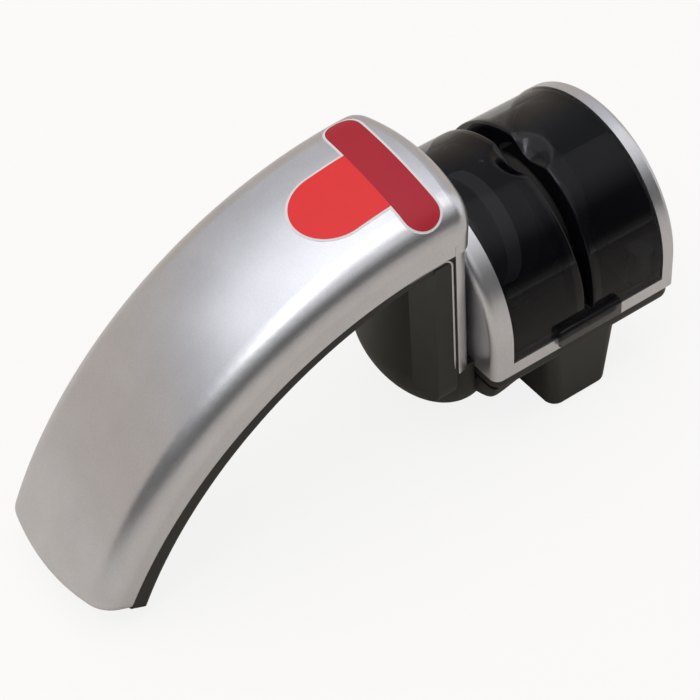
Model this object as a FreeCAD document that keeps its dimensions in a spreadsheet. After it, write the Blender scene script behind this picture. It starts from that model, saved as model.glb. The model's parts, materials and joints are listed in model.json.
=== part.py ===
"""Pull-through knife sharpener with an arched handle, as a parametric assembly.

Millimetres. +X runs from the handle's tip to the drum-shaped head, +Z is up and z = 0 is the table.
"""
import FreeCAD, Part
import Sketcher
import math
import os

V = FreeCAD.Vector
doc = FreeCAD.newDocument("knife_sharpener")
sheet = doc.addObject("Spreadsheet::Sheet", "Sizes")

# The driving dimensions: alias, value, meaning
SIZES = [
    # clearances
    ("overrun", 6.0, "how far a cut runs past what it cuts"),
    ("seat_gap", 0.1, "clearance between pieces that are fixed together"),
    ("run_gap", 0.04, "radial clearance of a shaft or pin in its bore"),
    ("move_gap", 0.25, "clearance between a moving piece and what lies beside it"),
    ("shadow_gap", 0.4, "open line between a silver shell and the black piece below it"),
    # arched handle, seen from the side
    ("edge_apex_x", 20.85, "where the shell's lower edge is highest"),
    ("edge_apex_z", 56.5, "height of the shell's lower edge there"),
    ("edge_radius", 98.1, "radius of the shell's lower edge"),
    ("arch_start_deg", -1.168, "angle on that arc where the shell meets its leg"),
    ("arch_end_deg", 63.4, "angle on that arc at the handle's tip"),
    # handle shell, seen in section
    ("cover_half_width", 21.4, "half width of the shell at the column"),
    ("tip_half_width", 19.4, "half width of the shell at the tip"),
    ("crown_height", 12.9, "height of the shell's crown above its edge, at the column"),
    ("tip_crown_height", 9.0, "the same at the tip"),
    ("crown_radius", 120.0, "radius of the crown across the handle"),
    ("corner_share", 0.6, "radius of the shell's corners over its crown height"),
    ("spine_bulge_share", 0.45, "how much fuller the middle of the arch is than a straight taper"),
    ("cover_wall", 2.0, "wall of the shell"),
    ("knee_radius", 4.0, "rounding where the shell turns down into its leg"),
    ("tip_radius", 2.6, "rounding of the shell's tip"),
    ("knee_bow", 3.0, "how far the middle of the knee bows out over its corners"),
    ("tip_bow", 3.0, "how far the middle of the tip bows out over its corners"),
    ("leg_thickness", 4.2, "the leg, along X"),
    ("leg_bottom_z", 22.2, "height of the leg's lower end"),
    ("leg_lap", 2.4, "how far the leg runs up into the shell"),
    # black inner half of the handle
    ("rim_inset", 0.5, "how far the black rim lies inside the silver edge"),
    ("rim_depth", 2.4, "depth of the black rim below the silver edge, at the column"),
    ("tip_rim_depth", 4.6, "the same at the tip"),
    ("rim_round", 1.2, "rounding of the rim's lower edges"),
    ("spigot_height", 3.0, "how far the black half reaches up into the shell"),
    # column and foot below the handle
    ("column_x", 23.95, "centre of the column's oval plan"),
    ("column_reach", 12.4, "half length of the oval along X"),
    ("column_half_width", 20.5, "half width of the oval"),
    ("sole_z", 0.6, "height of the rounded foot's lowest point"),
    ("post_width", 5.0, "raised border of the column, beside the leg"),
    ("post_bottom_z", 14.0, "lower end of the raised border"),
    ("post_round", 5.0, "rounding of the border's lower ends"),
    # drum-shaped head
    ("head_gap", 0.7, "open line between the leg and the head"),
    ("head_length", 50.4, "the drum, along X"),
    ("head_radius", 27.8, "radius and half width of the drum"),
    ("head_bottom_z", 20.8, "lower edge of the silver drum"),
    ("head_side_height", 7.8, "straight side below the round, up to the drum's axis"),
    ("head_wall", 2.2, "wall of the drum"),
    ("left_band", 5.0, "silver band at the handle's end of the drum"),
    ("right_band", 3.6, "silver band at the free end of the drum"),
    ("strip_height", 3.2, "low strips at the front and rear that join the bands"),
    ("left_round", 2.0, "rounding of the left band's outer edge"),
    ("right_round", 1.2, "rounding of the right band's outer edge"),
    ("boss_radius", 2.8, "screw bosses inside the drum"),
    ("boss_height", 9.0, "height of those bosses"),
    ("boss_inset", 4.4, "bosses from the drum's ends"),
    ("boss_side_inset", 6.4, "bosses from the drum's sides"),
    # smoked dust cover
    ("shell_sink", 0.3, "how far the cover lies below the bands' surface"),
    ("shell_wall", 1.8, "wall of the cover"),
    ("slot_shift", 0.9, "blade slot from the drum's middle, towards its free end"),
    ("slot_width", 3.7, "width of the blade slot"),
    ("slot_front_rise", 6.2, "front end of the slot above the drum's lower edge"),
    ("slot_rear_rise", 11.0, "rear end of the slot above the drum's lower edge"),
    ("lip_wall", 1.2, "wall of the lips along the slot"),
    ("lip_depth", 2.2, "how far the lips reach in below the cover"),
    ("dish_radius", 8.0, "dished mouth of the slot, at the surface"),
    ("dish_floor_radius", 2.4, "the dish at its floor"),
    ("dish_depth", 4.0, "depth of the dish"),
    ("dish_wall", 1.3, "wall below the dish"),
    ("dish_root_share", 0.9, "where the dish's wall starts, as a share of the cover's wall"),
    ("dish_tilt_deg", 9.0, "how far the dish lies in front of the top"),
    ("tab_length", 17.2, "finger tab of the cover, along X"),
    ("tab_reach", 1.5, "how far the tab stands out from the drum"),
    ("tab_wall", 1.3, "thickness of the tab"),
    ("tab_foot", 1.3, "lower end of the tab above the drum's edge"),
    ("tab_rise", 5.9, "upper end of the tab above the drum's edge"),
    ("tab_shift", 0.7, "the tab's middle from the slot, towards the handle"),
    ("tab_round", 0.5, "rounding of the tab's edges"),
    # hinge of the cover, at the rear
    ("hinge_rise", 5.8, "hinge axis above the drum's lower edge"),
    ("pin_radius", 1.0, "hinge pin"),
    ("knuckle_radius", 2.2, "knuckle and ears around the pin"),
    ("knuckle_length", 15.0, "the cover's knuckle, along X"),
    ("ear_length", 4.0, "each ear of the drum, along X"),
    # black tray with the foot bar
    ("tray_depth", 4.0, "the tray below the drum"),
    ("tray_inset", 0.3, "how far the tray lies inside the drum's outline"),
    ("tray_floor", 2.0, "floor of the tray"),
    ("tray_corner", 3.0, "upright corners of the tray"),
    ("tray_round", 2.2, "rounding of the tray's lower edge"),
    ("tray_margin", 7.55, "thick ends of the tray that take the screws"),
    ("tray_lip_height", 2.0, "lip that locates the drum"),
    ("tray_lip_wall", 1.6, "wall of that lip"),
    ("bar_top_length", 19.6, "foot bar along X, at its top"),
    ("bar_bottom_length", 16.2, "foot bar along X, at its foot"),
    ("bar_bottom_half_width", 26.5, "half width of the foot bar at its foot"),
    ("bar_shift", 1.0, "the foot bar's middle from the slot, towards the handle"),
    ("bar_corner", 3.0, "upright corners of the foot bar"),
    ("bar_round", 1.2, "rounding of the foot bar's lower edge"),
    ("bar_wall", 2.6, "wall of the hollow foot bar"),
    ("pad_stand", 0.6, "how far the rubber pads stand out below the bar"),
    ("pad_sink", 1.0, "how deep the pads are let in"),
    ("pad_length", 9.0, "pad along X"),
    ("pad_width", 12.0, "pad along Y"),
    ("pad_corner", 2.0, "corners of the pad"),
    ("pad_y", 15.5, "pads from the middle plane"),
    # grinding wheels and what carries them
    ("axle_rise", 15.4, "axle above the drum's lower edge"),
    ("axle_radius", 2.0, "radius of the axle"),
    ("wheel_radius", 13.6, "rim of each wheel core"),
    ("rim_width", 3.7, "width of that rim"),
    ("ring_radius", 13.2, "abrasive ring's outer radius"),
    ("ring_bore_radius", 8.5, "seat of the abrasive ring on its core"),
    ("bevel_width", 1.7, "bevel that makes one side of the V, along the axle"),
    ("bevel_root_radius", 9.0, "root of the bevel"),
    ("hub_radius", 5.0, "hub of each core"),
    ("hub_length", 1.1, "how far the hub stands out"),
    ("spacer_width", 1.2, "spacer between the wheels"),
    ("spacer_radius", 7.5, "radius of the spacer"),
    ("washer_radius", 4.2, "thrust washers"),
    ("washer_thickness", 0.6, "thrust washers along the axle"),
    ("end_play", 0.15, "free play at each side of a thrust washer"),
    ("bush_radius", 3.4, "sleeve of the bushes"),
    ("bush_flange_radius", 4.8, "flange of the bushes"),
    ("bush_flange", 0.8, "thickness of that flange"),
    ("upright", 2.5, "thickness of the cradle's uprights"),
    ("upright_top_radius", 5.6, "round top of the uprights"),
    ("cradle_half_width", 12.5, "half width of the cradle's plate"),
    ("cradle_plate", 1.6, "thickness of the cradle's plate"),
    ("window_half_width", 7.6, "dust window in the plate, half width"),
    ("window_margin", 4.5, "dust window from the uprights"),
    ("clip_radius", 3.6, "retaining clips"),
    ("clip_thickness", 0.7, "retaining clips along the axle"),
    ("groove_radius", 1.5, "grooves of the axle that hold the clips"),
    ("axle_end", 0.9, "axle beyond each clip"),
    ("end_room", 3.75, "room between the axle's right end and the drum's end wall"),
    # screws
    ("screw_radius", 1.4, "shank of the screws"),
    ("screw_head_radius", 2.5, "head of the screws"),
    ("screw_head", 1.6, "height of the head"),
    ("screw_grip", 5.0, "how far a screw reaches into its boss"),
    ("handle_boss_radius", 3.0, "screw bosses inside the handle's shell"),
    ("head_recess", 2.0, "depth of the recess around a screw head"),
    ("neck_screw_inset", 6.0, "neck screws from the drum's left end"),
    ("neck_screw_y", 6.5, "neck screws from the middle plane"),
    ("neck_floor_z", 11.0, "seat of the neck screws' heads in the foot"),
    ("neck_boss_height", 5.5, "bosses of the tray above its floor, for the neck screws"),
    ("cradle_boss_height", 1.2, "bosses of the tray's floor below the cradle"),
    ("cradle_screw_inset", 6.6, "cradle screws from the uprights"),
    ("boss_seat", 0.8, "tray's floor beside the dust well, under the middle of a cradle boss at the least"),
    ("cradle_screw_y", 10.0, "cradle screws from the middle plane"),
]

# Points closer than this count as touching
TOUCH = 1e-3

# Stations of the arch's sections and of its two screws, as shares of its sweep
SECTION_SHARES = (0.0, 0.2, 0.4, 0.6, 0.8, 1.0)
SCREW_SHARES = (0.26, 0.78)


class Size:
    """A number that knows its value and the sheet expression that gives it."""

    def __init__(self, text, value):
        self.text = text
        self.value = value

    def joined(self, sign, other, value):
        return Size("(%s %s %s)" % (self.text, sign, other.text), value)

    def __add__(self, other):
        other = as_size(other)
        return self.joined("+", other, self.value + other.value)

    def __sub__(self, other):
        other = as_size(other)
        return self.joined("-", other, self.value - other.value)

    def __mul__(self, other):
        other = as_size(other)
        return self.joined("*", other, self.value * other.value)

    def __truediv__(self, other):
        other = as_size(other)
        return self.joined("/", other, self.value / other.value)

    def __rsub__(self, other):
        return as_size(other) - self

    def __neg__(self):
        return Size("(-%s)" % self.text, -self.value)

    __radd__ = __add__
    __rmul__ = __mul__


def as_size(number):
    if isinstance(number, Size):
        return number
    return Size(repr(float(number)), float(number))


def sine(angle):
    return Size("sin(%s)" % angle.text, math.sin(math.radians(angle.value)))


def cosine(angle):
    return Size("cos(%s)" % angle.text, math.cos(math.radians(angle.value)))


def root(number):
    return Size("sqrt(%s)" % number.text, math.sqrt(number.value))


def least(first, second):
    return Size("min(%s; %s)" % (first.text, second.text), min(first.value, second.value))


def degrees_of_sine(number):
    return Size("(asin(%s) / 1 deg)" % number.text, math.degrees(math.asin(number.value)))


class Named:
    """Holds one Size for each alias of the sheet."""


d = Named()
for row, (alias, value, meaning) in enumerate(SIZES, start=1):
    sheet.set("A%d" % row, meaning)
    sheet.set("B%d" % row, repr(value))
    sheet.setAlias("B%d" % row, alias)
    setattr(d, alias, Size("Sizes." + alias, value))
doc.recompute()

# Places that several pieces share
zero = as_size(0)
leg_face_x = d.edge_apex_x - d.edge_radius * sine(d.arch_start_deg)
leg_inner_x = leg_face_x - d.leg_thickness
head_left = leg_face_x + d.head_gap
head_right = head_left + d.head_length
head_axis_z = d.head_bottom_z + d.head_side_height
strip_top_z = d.head_bottom_z + d.strip_height
tray_bottom_z = d.head_bottom_z - d.tray_depth
tray_top_z = d.head_bottom_z - d.shadow_gap
tray_floor_z = tray_bottom_z + d.tray_floor
slot_x = head_left + d.head_length / 2 + d.slot_shift
bar_x = slot_x - d.bar_shift
axle_z = d.head_bottom_z + d.axle_rise
shell_radius = d.head_radius - d.shell_sink
hinge_y = d.head_radius + d.tab_reach - d.knuckle_radius
hinge_z = d.head_bottom_z + d.hinge_rise
bar_bottom_z = d.pad_stand
cradle_z = tray_floor_z + d.cradle_boss_height
inner_start_deg = degrees_of_sine((d.edge_apex_x - leg_inner_x) / d.edge_radius)
knee_deg = degrees_of_sine((d.edge_apex_x - leg_face_x - d.knee_bow) / d.edge_radius)
wall_deg = d.cover_wall / d.edge_radius * math.degrees(1)
gap_deg = d.seat_gap / d.edge_radius * math.degrees(1)
inner_end_deg = d.arch_end_deg - wall_deg - d.tip_bow / d.edge_radius * math.degrees(1)
# distances along the axle from the middle of the slot: the drum's room outside, the rings take what is left
axle_tip = d.head_length / 2 - d.slot_shift - d.head_wall - d.end_room
clip_outer = axle_tip - d.axle_end
clip_inner = clip_outer - d.clip_thickness
upright_outer = clip_inner - d.end_play
upright_inner = upright_outer - d.upright
cradle_screw_reach = upright_inner - d.cradle_screw_inset
bush_inner = upright_inner - d.bush_flange
washer_outer = bush_inner - d.end_play
washer_inner = washer_outer - d.washer_thickness
hub_end = washer_inner - d.end_play
rim_outer = hub_end - d.hub_length
ring_outer = rim_outer - d.rim_width
ring_inner = d.spacer_width / 2


def bind(item, prop, size):
    item.setExpression(prop, as_size(size).text)


def new_body(label):
    body = doc.addObject("PartDesign::Body", label)
    body.Label = label
    return body


def plane(body, role):
    return next(item for item in body.Origin.OriginFeatures if item.Role == role)


def sketch_on(body, role, name, offset=(zero, zero, zero), turn_axis=None, turn=None):
    """A sketch on one of the body's planes, shifted and turned in that plane's own directions."""
    sketch = body.newObject("Sketcher::SketchObject", name)
    sketch.AttachmentSupport = (plane(body, role), "")
    sketch.MapMode = "FlatFace"
    base = V(*(size.value for size in offset))
    if turn is None:
        sketch.AttachmentOffset = FreeCAD.Placement(base, FreeCAD.Rotation())
    else:
        sketch.AttachmentOffset = FreeCAD.Placement(base, FreeCAD.Rotation(turn_axis, turn.value))
        bind(sketch, "AttachmentOffset.Rotation.Angle", turn)
    for letter, size in zip("xyz", offset):
        bind(sketch, "AttachmentOffset.Base." + letter, size)
    return sketch


def arc_between(start, end, radius, turn):
    """An arc of under half a circle; turn is +1 where it runs anticlockwise from start to end."""
    chord = end - start
    middle = (start + end) * 0.5
    left = V(-chord.y, chord.x, 0).normalize()
    rise = math.sqrt(max(radius ** 2 - (chord.Length / 2) ** 2, 0))
    centre = middle + left * rise * turn
    first, last = (start, end) if turn > 0 else (end, start)
    a_first = math.atan2(first.y - centre.y, first.x - centre.x)
    a_last = math.atan2(last.y - centre.y, last.x - centre.x)
    if a_last < a_first:
        a_last += 2 * math.pi
    return Part.ArcOfCircle(Part.Circle(centre, V(0, 0, 1), radius), a_first, a_last)


def pin_point(sketch, geometry, position, x, y):
    for kind, size in (("DistanceX", x), ("DistanceY", y)):
        index = sketch.addConstraint(
            Sketcher.Constraint(kind, -1, 1, geometry, position, size.value))
        bind(sketch, "Constraints[%d]" % index, size)


def outline(sketch, corners, arcs=None):
    """A closed outline through corners. arcs gives the radius and turn of the side after a corner."""
    arcs = arcs or {}
    corners = [(as_size(x), as_size(y)) for x, y in corners]
    points = [V(x.value, y.value, 0) for x, y in corners]
    ends = []
    first = None
    for i, start in enumerate(points):
        end = points[(i + 1) % len(points)]
        if i in arcs:
            radius, turn = arcs[i]
            index = sketch.addGeometry(arc_between(start, end, radius.value, turn))
            ends.append((index, 1, 2) if turn > 0 else (index, 2, 1))
        else:
            index = sketch.addGeometry(Part.LineSegment(start, end))
            ends.append((index, 1, 2))
        first = index if first is None else first
    for i, (index, head, tail) in enumerate(ends):
        following, next_head, _ = ends[(i + 1) % len(ends)]
        sketch.addConstraint(Sketcher.Constraint("Coincident", index, tail, following, next_head))
        pin_point(sketch, index, head, *corners[i])
        if i in arcs:
            radius = arcs[i][0]
            bound = sketch.addConstraint(Sketcher.Constraint("Radius", index, radius.value))
            bind(sketch, "Constraints[%d]" % bound, radius)


def rectangle(sketch, x0, x1, y0, y1):
    outline(sketch, [(x0, y0), (x1, y0), (x1, y1), (x0, y1)])


def rounded_rectangle(sketch, x0, x1, y0, y1, r):
    corners = [(x0 + r, y0), (x1 - r, y0), (x1, y0 + r), (x1, y1 - r),
               (x1 - r, y1), (x0 + r, y1), (x0, y1 - r), (x0, y0 + r)]
    outline(sketch, corners, {1: (r, 1), 3: (r, 1), 5: (r, 1), 7: (r, 1)})


def circle(sketch, x, y, radius):
    x, y = as_size(x), as_size(y)
    index = sketch.addGeometry(Part.Circle(V(x.value, y.value, 0), V(0, 0, 1), radius.value))
    pin_point(sketch, index, 3, x, y)
    bound = sketch.addConstraint(Sketcher.Constraint("Radius", index, radius.value))
    bind(sketch, "Constraints[%d]" % bound, radius)


def extrude(body, kind, sketch, name, length, both_ways=False, reverse=False):
    feature = body.newObject("PartDesign::" + kind, name)
    feature.Profile = sketch
    bind(feature, "Length", length)
    feature.SideType = "Symmetric" if both_ways else "One side"
    feature.Reversed = reverse
    return feature


def pad(body, sketch, name, length, **how):
    return extrude(body, "Pad", sketch, name, length, **how)


def pocket(body, sketch, name, length, **how):
    """A cut; it stops the script where nothing is cut, because a wrong direction shows no error."""
    doc.recompute()
    before = body.Shape.Volume
    feature = extrude(body, "Pocket", sketch, name, length, **how)
    doc.recompute()
    if not body.Shape.Volume < before:
        raise RuntimeError("%s cuts nothing" % name)
    return feature


def loft(body, kind, sketches, name):
    feature = body.newObject("PartDesign::%sLoft" % kind, name)
    feature.Profile = sketches[0]
    feature.Sections = sketches[1:]
    feature.Ruled = False
    feature.Closed = False
    doc.recompute()
    return feature


def fillet(body, base, wanted, radius, name):
    """Rounds those edges of base for which wanted(edge) is true."""
    doc.recompute()
    names = ["Edge%d" % i for i, edge in enumerate(base.Shape.Edges, start=1) if wanted(edge)]
    if not names:
        raise RuntimeError("%s finds no edge" % name)
    feature = body.newObject("PartDesign::Fillet", name)
    feature.Base = (base, names)
    bind(feature, "Radius", radius)
    doc.recompute()
    return feature


def all_near(edge, test):
    return all(abs(test(vertex.Point)) < TOUCH for vertex in edge.Vertexes)


# The arch: every section stands on the shell's lower edge, square to it
def arch_share(angle):
    return (angle - d.arch_start_deg) / (d.arch_end_deg - d.arch_start_deg)


def half_width_at(angle):
    return d.cover_half_width + (d.tip_half_width - d.cover_half_width) * arch_share(angle)


def crown_at(angle):
    share = arch_share(angle)
    fuller = share - d.spine_bulge_share * share * (1 - share)
    return d.crown_height + (d.tip_crown_height - d.crown_height) * fuller


def arch_point(angle, height=zero):
    """A point of the middle plane, height above the edge, measured square to it."""
    reach = d.edge_radius + height
    centre_z = d.edge_apex_z - d.edge_radius
    return d.edge_apex_x - reach * sine(angle), centre_z + reach * cosine(angle)


def arch_angles(start, end):
    return [start + (end - start) * share for share in SECTION_SHARES]


def section_sketch(body, angle, name):
    x, z = arch_point(angle)
    return sketch_on(body, "YZ_Plane", name, (zero, z, x), V(1, 0, 0), -angle)


def square_sketch(body, angle, height, name):
    """A sketch on the plane that lies along the arch, height above its edge."""
    x, z = arch_point(angle, height)
    return sketch_on(body, "XY_Plane", name, (x, zero, z), V(0, 1, 0), -angle)


def crowned_section(body, angle, inset, bottom, name):
    """The shell's section, inset all round by a wall: straight sides, round corners, low crown."""
    sketch = section_sketch(body, angle, name)
    w = half_width_at(angle) - inset
    top = crown_at(angle) - inset
    corner = crown_at(angle) * d.corner_share - inset
    crown = d.crown_radius - inset
    span = crown - corner
    side = top - crown + root(span * span - (w - corner) * (w - corner))
    blend_x = crown * (w - corner) / span
    blend_z = top - crown + crown * (side - top + crown) / span
    corners = [(-w, bottom), (w, bottom), (w, side), (blend_x, blend_z), (-blend_x, blend_z), (-w, side)]
    outline(sketch, corners, {2: (corner, 1), 3: (crown, 1), 4: (corner, 1)})
    return sketch


def on_arch_plane(angle):
    """Signed distance of a point from the arch's section plane at an angle, and its height there."""
    x, z = (size.value for size in arch_point(angle))
    turn = math.radians(angle.value)
    along = V(-math.cos(turn), 0, -math.sin(turn))
    up = V(-math.sin(turn), 0, math.cos(turn))
    foot = V(x, 0, z)
    return (lambda point: (point - foot).dot(along)), (lambda point: (point - foot).dot(up))


def bowed_end(body, angle, bow, side, name):
    """Trims an end of the arch to a bow, so that its corners lie back from its middle.

    side is 1 at the tip and -1 at the knee. Gives the test that picks the end's edges for rounding.
    """
    low = -d.overrun - d.tip_rim_depth
    plan = square_sketch(body, angle, low, name + "_plan")
    span = half_width_at(angle)
    wide = d.cover_half_width + d.cover_wall
    radius = (span * span + bow * bow) / (bow * 2)
    back = (radius - root(radius * radius - wide * wide)) * side
    past = d.overrun * -side
    outline(plan, [(back, -wide), (back, wide), (past, wide), (past, -wide)], {0: (radius, -side)})
    pocket(body, plan, name, crown_at(angle) + d.overrun - low, reverse=True)
    distance, height = on_arch_plane(angle)
    reach = radius.value

    def on_bow(point):
        return math.hypot(distance(point) + side * reach, point.y) - reach

    def wanted(edge):
        return all_near(edge, on_bow) and any(height(v.Point) > TOUCH for v in edge.Vertexes)
    return wanted


def screw_angles():
    return [d.arch_start_deg + (d.arch_end_deg - d.arch_start_deg) * share for share in SCREW_SHARES]


def make_handle_cover():
    body = new_body("handle_cover")
    angles = arch_angles(knee_deg, d.arch_end_deg)
    outer = [crowned_section(body, a, zero, zero, "outer_section%d" % i) for i, a in enumerate(angles)]
    loft(body, "Additive", outer, "outer_form")
    knee_edges = bowed_end(body, knee_deg, d.knee_bow, -1, "knee_bow")
    fillet(body, body.Tip, knee_edges, d.knee_radius, "knee")
    tip_edges = bowed_end(body, d.arch_end_deg, d.tip_bow, 1, "tip_bow")
    fillet(body, body.Tip, tip_edges, d.tip_radius, "tip_rounding")
    angles = arch_angles(inner_start_deg, inner_end_deg)
    inner = [crowned_section(body, a, d.cover_wall, -d.overrun, "inner_section%d" % i)
             for i, a in enumerate(angles)]
    loft(body, "Subtractive", inner, "inner_form")
    leg = sketch_on(body, "XY_Plane", "leg_plan", (zero, zero, d.leg_bottom_z))
    w, r = d.cover_half_width, d.knee_radius
    corners = [(leg_inner_x, -w), (leg_face_x - r, -w), (leg_face_x, r - w), (leg_face_x, w - r),
               (leg_face_x - r, w), (leg_inner_x, w)]
    outline(leg, corners, {1: (r, 1), 3: (r, 1)})
    pad(body, leg, "leg", d.edge_apex_z + d.leg_lap - d.leg_bottom_z)
    for i, angle in enumerate(screw_angles()):
        base = d.spigot_height + d.seat_gap
        boss = square_sketch(body, angle, base, "boss_plan%d" % i)
        circle(boss, 0, 0, d.handle_boss_radius)
        pad(body, boss, "boss%d" % i, crown_at(angle) - d.cover_wall / 2 - base)
        hole = square_sketch(body, angle, base, "boss_hole_plan%d" % i)
        circle(hole, 0, 0, d.screw_radius)
        pocket(body, hole, "boss_hole%d" % i, d.screw_grip - d.seat_gap, reverse=True)
    return body


def rim_low(angle):
    """Height of the black rim's lower face, measured from the silver edge."""
    return -d.shadow_gap - d.rim_depth - (d.tip_rim_depth - d.rim_depth) * arch_share(angle)


def rim_section(body, angle, name):
    sketch = section_sketch(body, angle, name)
    w = half_width_at(angle) - d.rim_inset
    top = -d.shadow_gap
    low = rim_low(angle)
    r = d.rim_round
    corners = [(r - w, low), (w - r, low), (w, low + r), (w, top), (-w, top), (-w, low + r)]
    outline(sketch, corners, {1: (r, 1), 5: (r, 1)})
    return sketch


def spigot_section(body, angle, name):
    sketch = section_sketch(body, angle, name)
    w = half_width_at(angle) - d.cover_wall - d.seat_gap
    rectangle(sketch, -w, w, (rim_low(angle) - d.shadow_gap) / 2, d.spigot_height)
    return sketch


def make_handle_grip():
    body = new_body("handle_grip")
    start = inner_start_deg + gap_deg
    angles = arch_angles(start, d.arch_end_deg)
    rims = [rim_section(body, a, "rim_section%d" % i) for i, a in enumerate(angles)]
    loft(body, "Additive", rims, "rim")
    bowed_end(body, d.arch_end_deg, d.tip_bow, 1, "tip_bow")
    angles = arch_angles(start, inner_end_deg - gap_deg)
    spigots = [spigot_section(body, a, "spigot_section%d" % i) for i, a in enumerate(angles)]
    loft(body, "Additive", spigots, "spigot")
    top_z = d.edge_apex_z - d.shadow_gap - d.rim_depth / 2
    # oval column
    plan = sketch_on(body, "XY_Plane", "column_plan", (zero, zero, tray_bottom_z))
    centre = V(d.column_x.value, 0, 0)
    oval = plan.addGeometry(Part.Ellipse(
        centre + V(0, d.column_half_width.value, 0), centre + V(d.column_reach.value, 0, 0), centre))
    plan.exposeInternalGeometry(oval)
    long_axis, short_axis = oval + 1, oval + 2
    plan.addConstraint(Sketcher.Constraint("Vertical", long_axis))
    for axis, half in ((long_axis, d.column_half_width), (short_axis, d.column_reach)):
        index = plan.addConstraint(Sketcher.Constraint("Distance", axis, 2 * half.value))
        bind(plan, "Constraints[%d]" % index, half * 2)
    pin_point(plan, oval, 3, d.column_x, zero)
    pad(body, plan, "column", top_z - tray_bottom_z)
    # rounded foot
    foot = body.newObject("PartDesign::AdditiveEllipsoid", "foot")
    foot.AttachmentSupport = (plane(body, "XY_Plane"), "")
    foot.MapMode = "FlatFace"
    foot.Angle1, foot.Angle2, foot.Angle3 = -90, 0, 360
    bind(foot, "Radius1", tray_bottom_z - d.sole_z)
    bind(foot, "Radius2", d.column_reach)
    bind(foot, "Radius3", d.column_half_width)
    bind(foot, "AttachmentOffset.Base.x", d.column_x)
    bind(foot, "AttachmentOffset.Base.z", tray_bottom_z)
    # raised border beside the leg
    post_x = leg_inner_x - d.seat_gap - d.post_width
    side = sketch_on(body, "YZ_Plane", "border_section", (zero, zero, post_x))
    w = d.cover_half_width - d.rim_inset
    r, low = d.post_round, d.post_bottom_z
    corners = [(r - w, low), (w - r, low), (w, low + r), (w, top_z), (-w, top_z), (-w, low + r)]
    outline(side, corners, {1: (r, 1), 5: (r, 1)})
    pad(body, side, "border", d.post_width)
    # room for the leg, the drum and the tray
    room = sketch_on(body, "XZ_Plane", "room_section")
    far_x = head_left + d.column_reach * 2 + d.overrun
    far_z = d.edge_apex_z + d.crown_height
    leg_x, leg_z = leg_inner_x - d.seat_gap, d.leg_bottom_z - d.seat_gap
    drum_x = head_left - d.seat_gap
    outline(room, [(leg_x, leg_z), (drum_x, leg_z), (drum_x, tray_bottom_z), (far_x, tray_bottom_z),
                   (far_x, far_z), (leg_x, far_z)])
    pocket(body, room, "room", d.cover_half_width * 2 + d.overrun, both_ways=True)
    # screw holes of the handle, from below
    for i, angle in enumerate(screw_angles()):
        low = rim_low(angle)
        hole = square_sketch(body, angle, low - d.overrun, "handle_hole_plan%d" % i)
        circle(hole, 0, 0, d.screw_radius + d.seat_gap)
        length = d.overrun - low + d.spigot_height + d.overrun
        pocket(body, hole, "handle_hole%d" % i, length, reverse=True)
        recess = square_sketch(body, angle, low - d.overrun, "handle_recess_plan%d" % i)
        circle(recess, 0, 0, d.screw_head_radius + d.seat_gap)
        pocket(body, recess, "handle_recess%d" % i, d.overrun + d.head_recess, reverse=True)
    # screw holes of the neck, from below
    for i, y in enumerate((-d.neck_screw_y, d.neck_screw_y)):
        x = head_left + d.neck_screw_inset
        hole = sketch_on(body, "XY_Plane", "neck_hole_plan%d" % i)
        circle(hole, x, y, d.screw_radius + d.seat_gap)
        pocket(body, hole, "neck_hole%d" % i, tray_bottom_z + d.overrun, reverse=True)
        recess = sketch_on(body, "XY_Plane", "neck_recess_plan%d" % i)
        circle(recess, x, y, d.screw_head_radius + d.seat_gap)
        pocket(body, recess, "neck_recess%d" % i, d.neck_floor_z, reverse=True)
    return body


def drum_outline(sketch, radius, bottom):
    """Straight sides and a round top about the drum's axis."""
    corners = [(-radius, bottom), (radius, bottom), (radius, head_axis_z), (0, head_axis_z + radius),
               (-radius, head_axis_z)]
    outline(sketch, corners, {2: (radius, 1), 3: (radius, 1)})


def arch_strip(sketch, outer, inner, bottom):
    """A strip of even wall with straight legs and a round top about the drum's axis."""
    axis = head_axis_z
    corners = [(inner, bottom), (outer, bottom), (outer, axis), (0, axis + outer), (-outer, axis),
               (-outer, bottom), (-inner, bottom), (-inner, axis), (0, axis + inner), (inner, axis)]
    outline(sketch, corners, {2: (outer, 1), 3: (outer, 1), 7: (inner, -1), 8: (inner, -1)})


def screw_bosses():
    """Places of the four screws that join the tray and the drum."""
    return [(x, y) for x in (head_left + d.boss_inset, head_right - d.boss_inset)
            for y in (d.boss_side_inset - d.head_radius, d.head_radius - d.boss_side_inset)]


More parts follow.
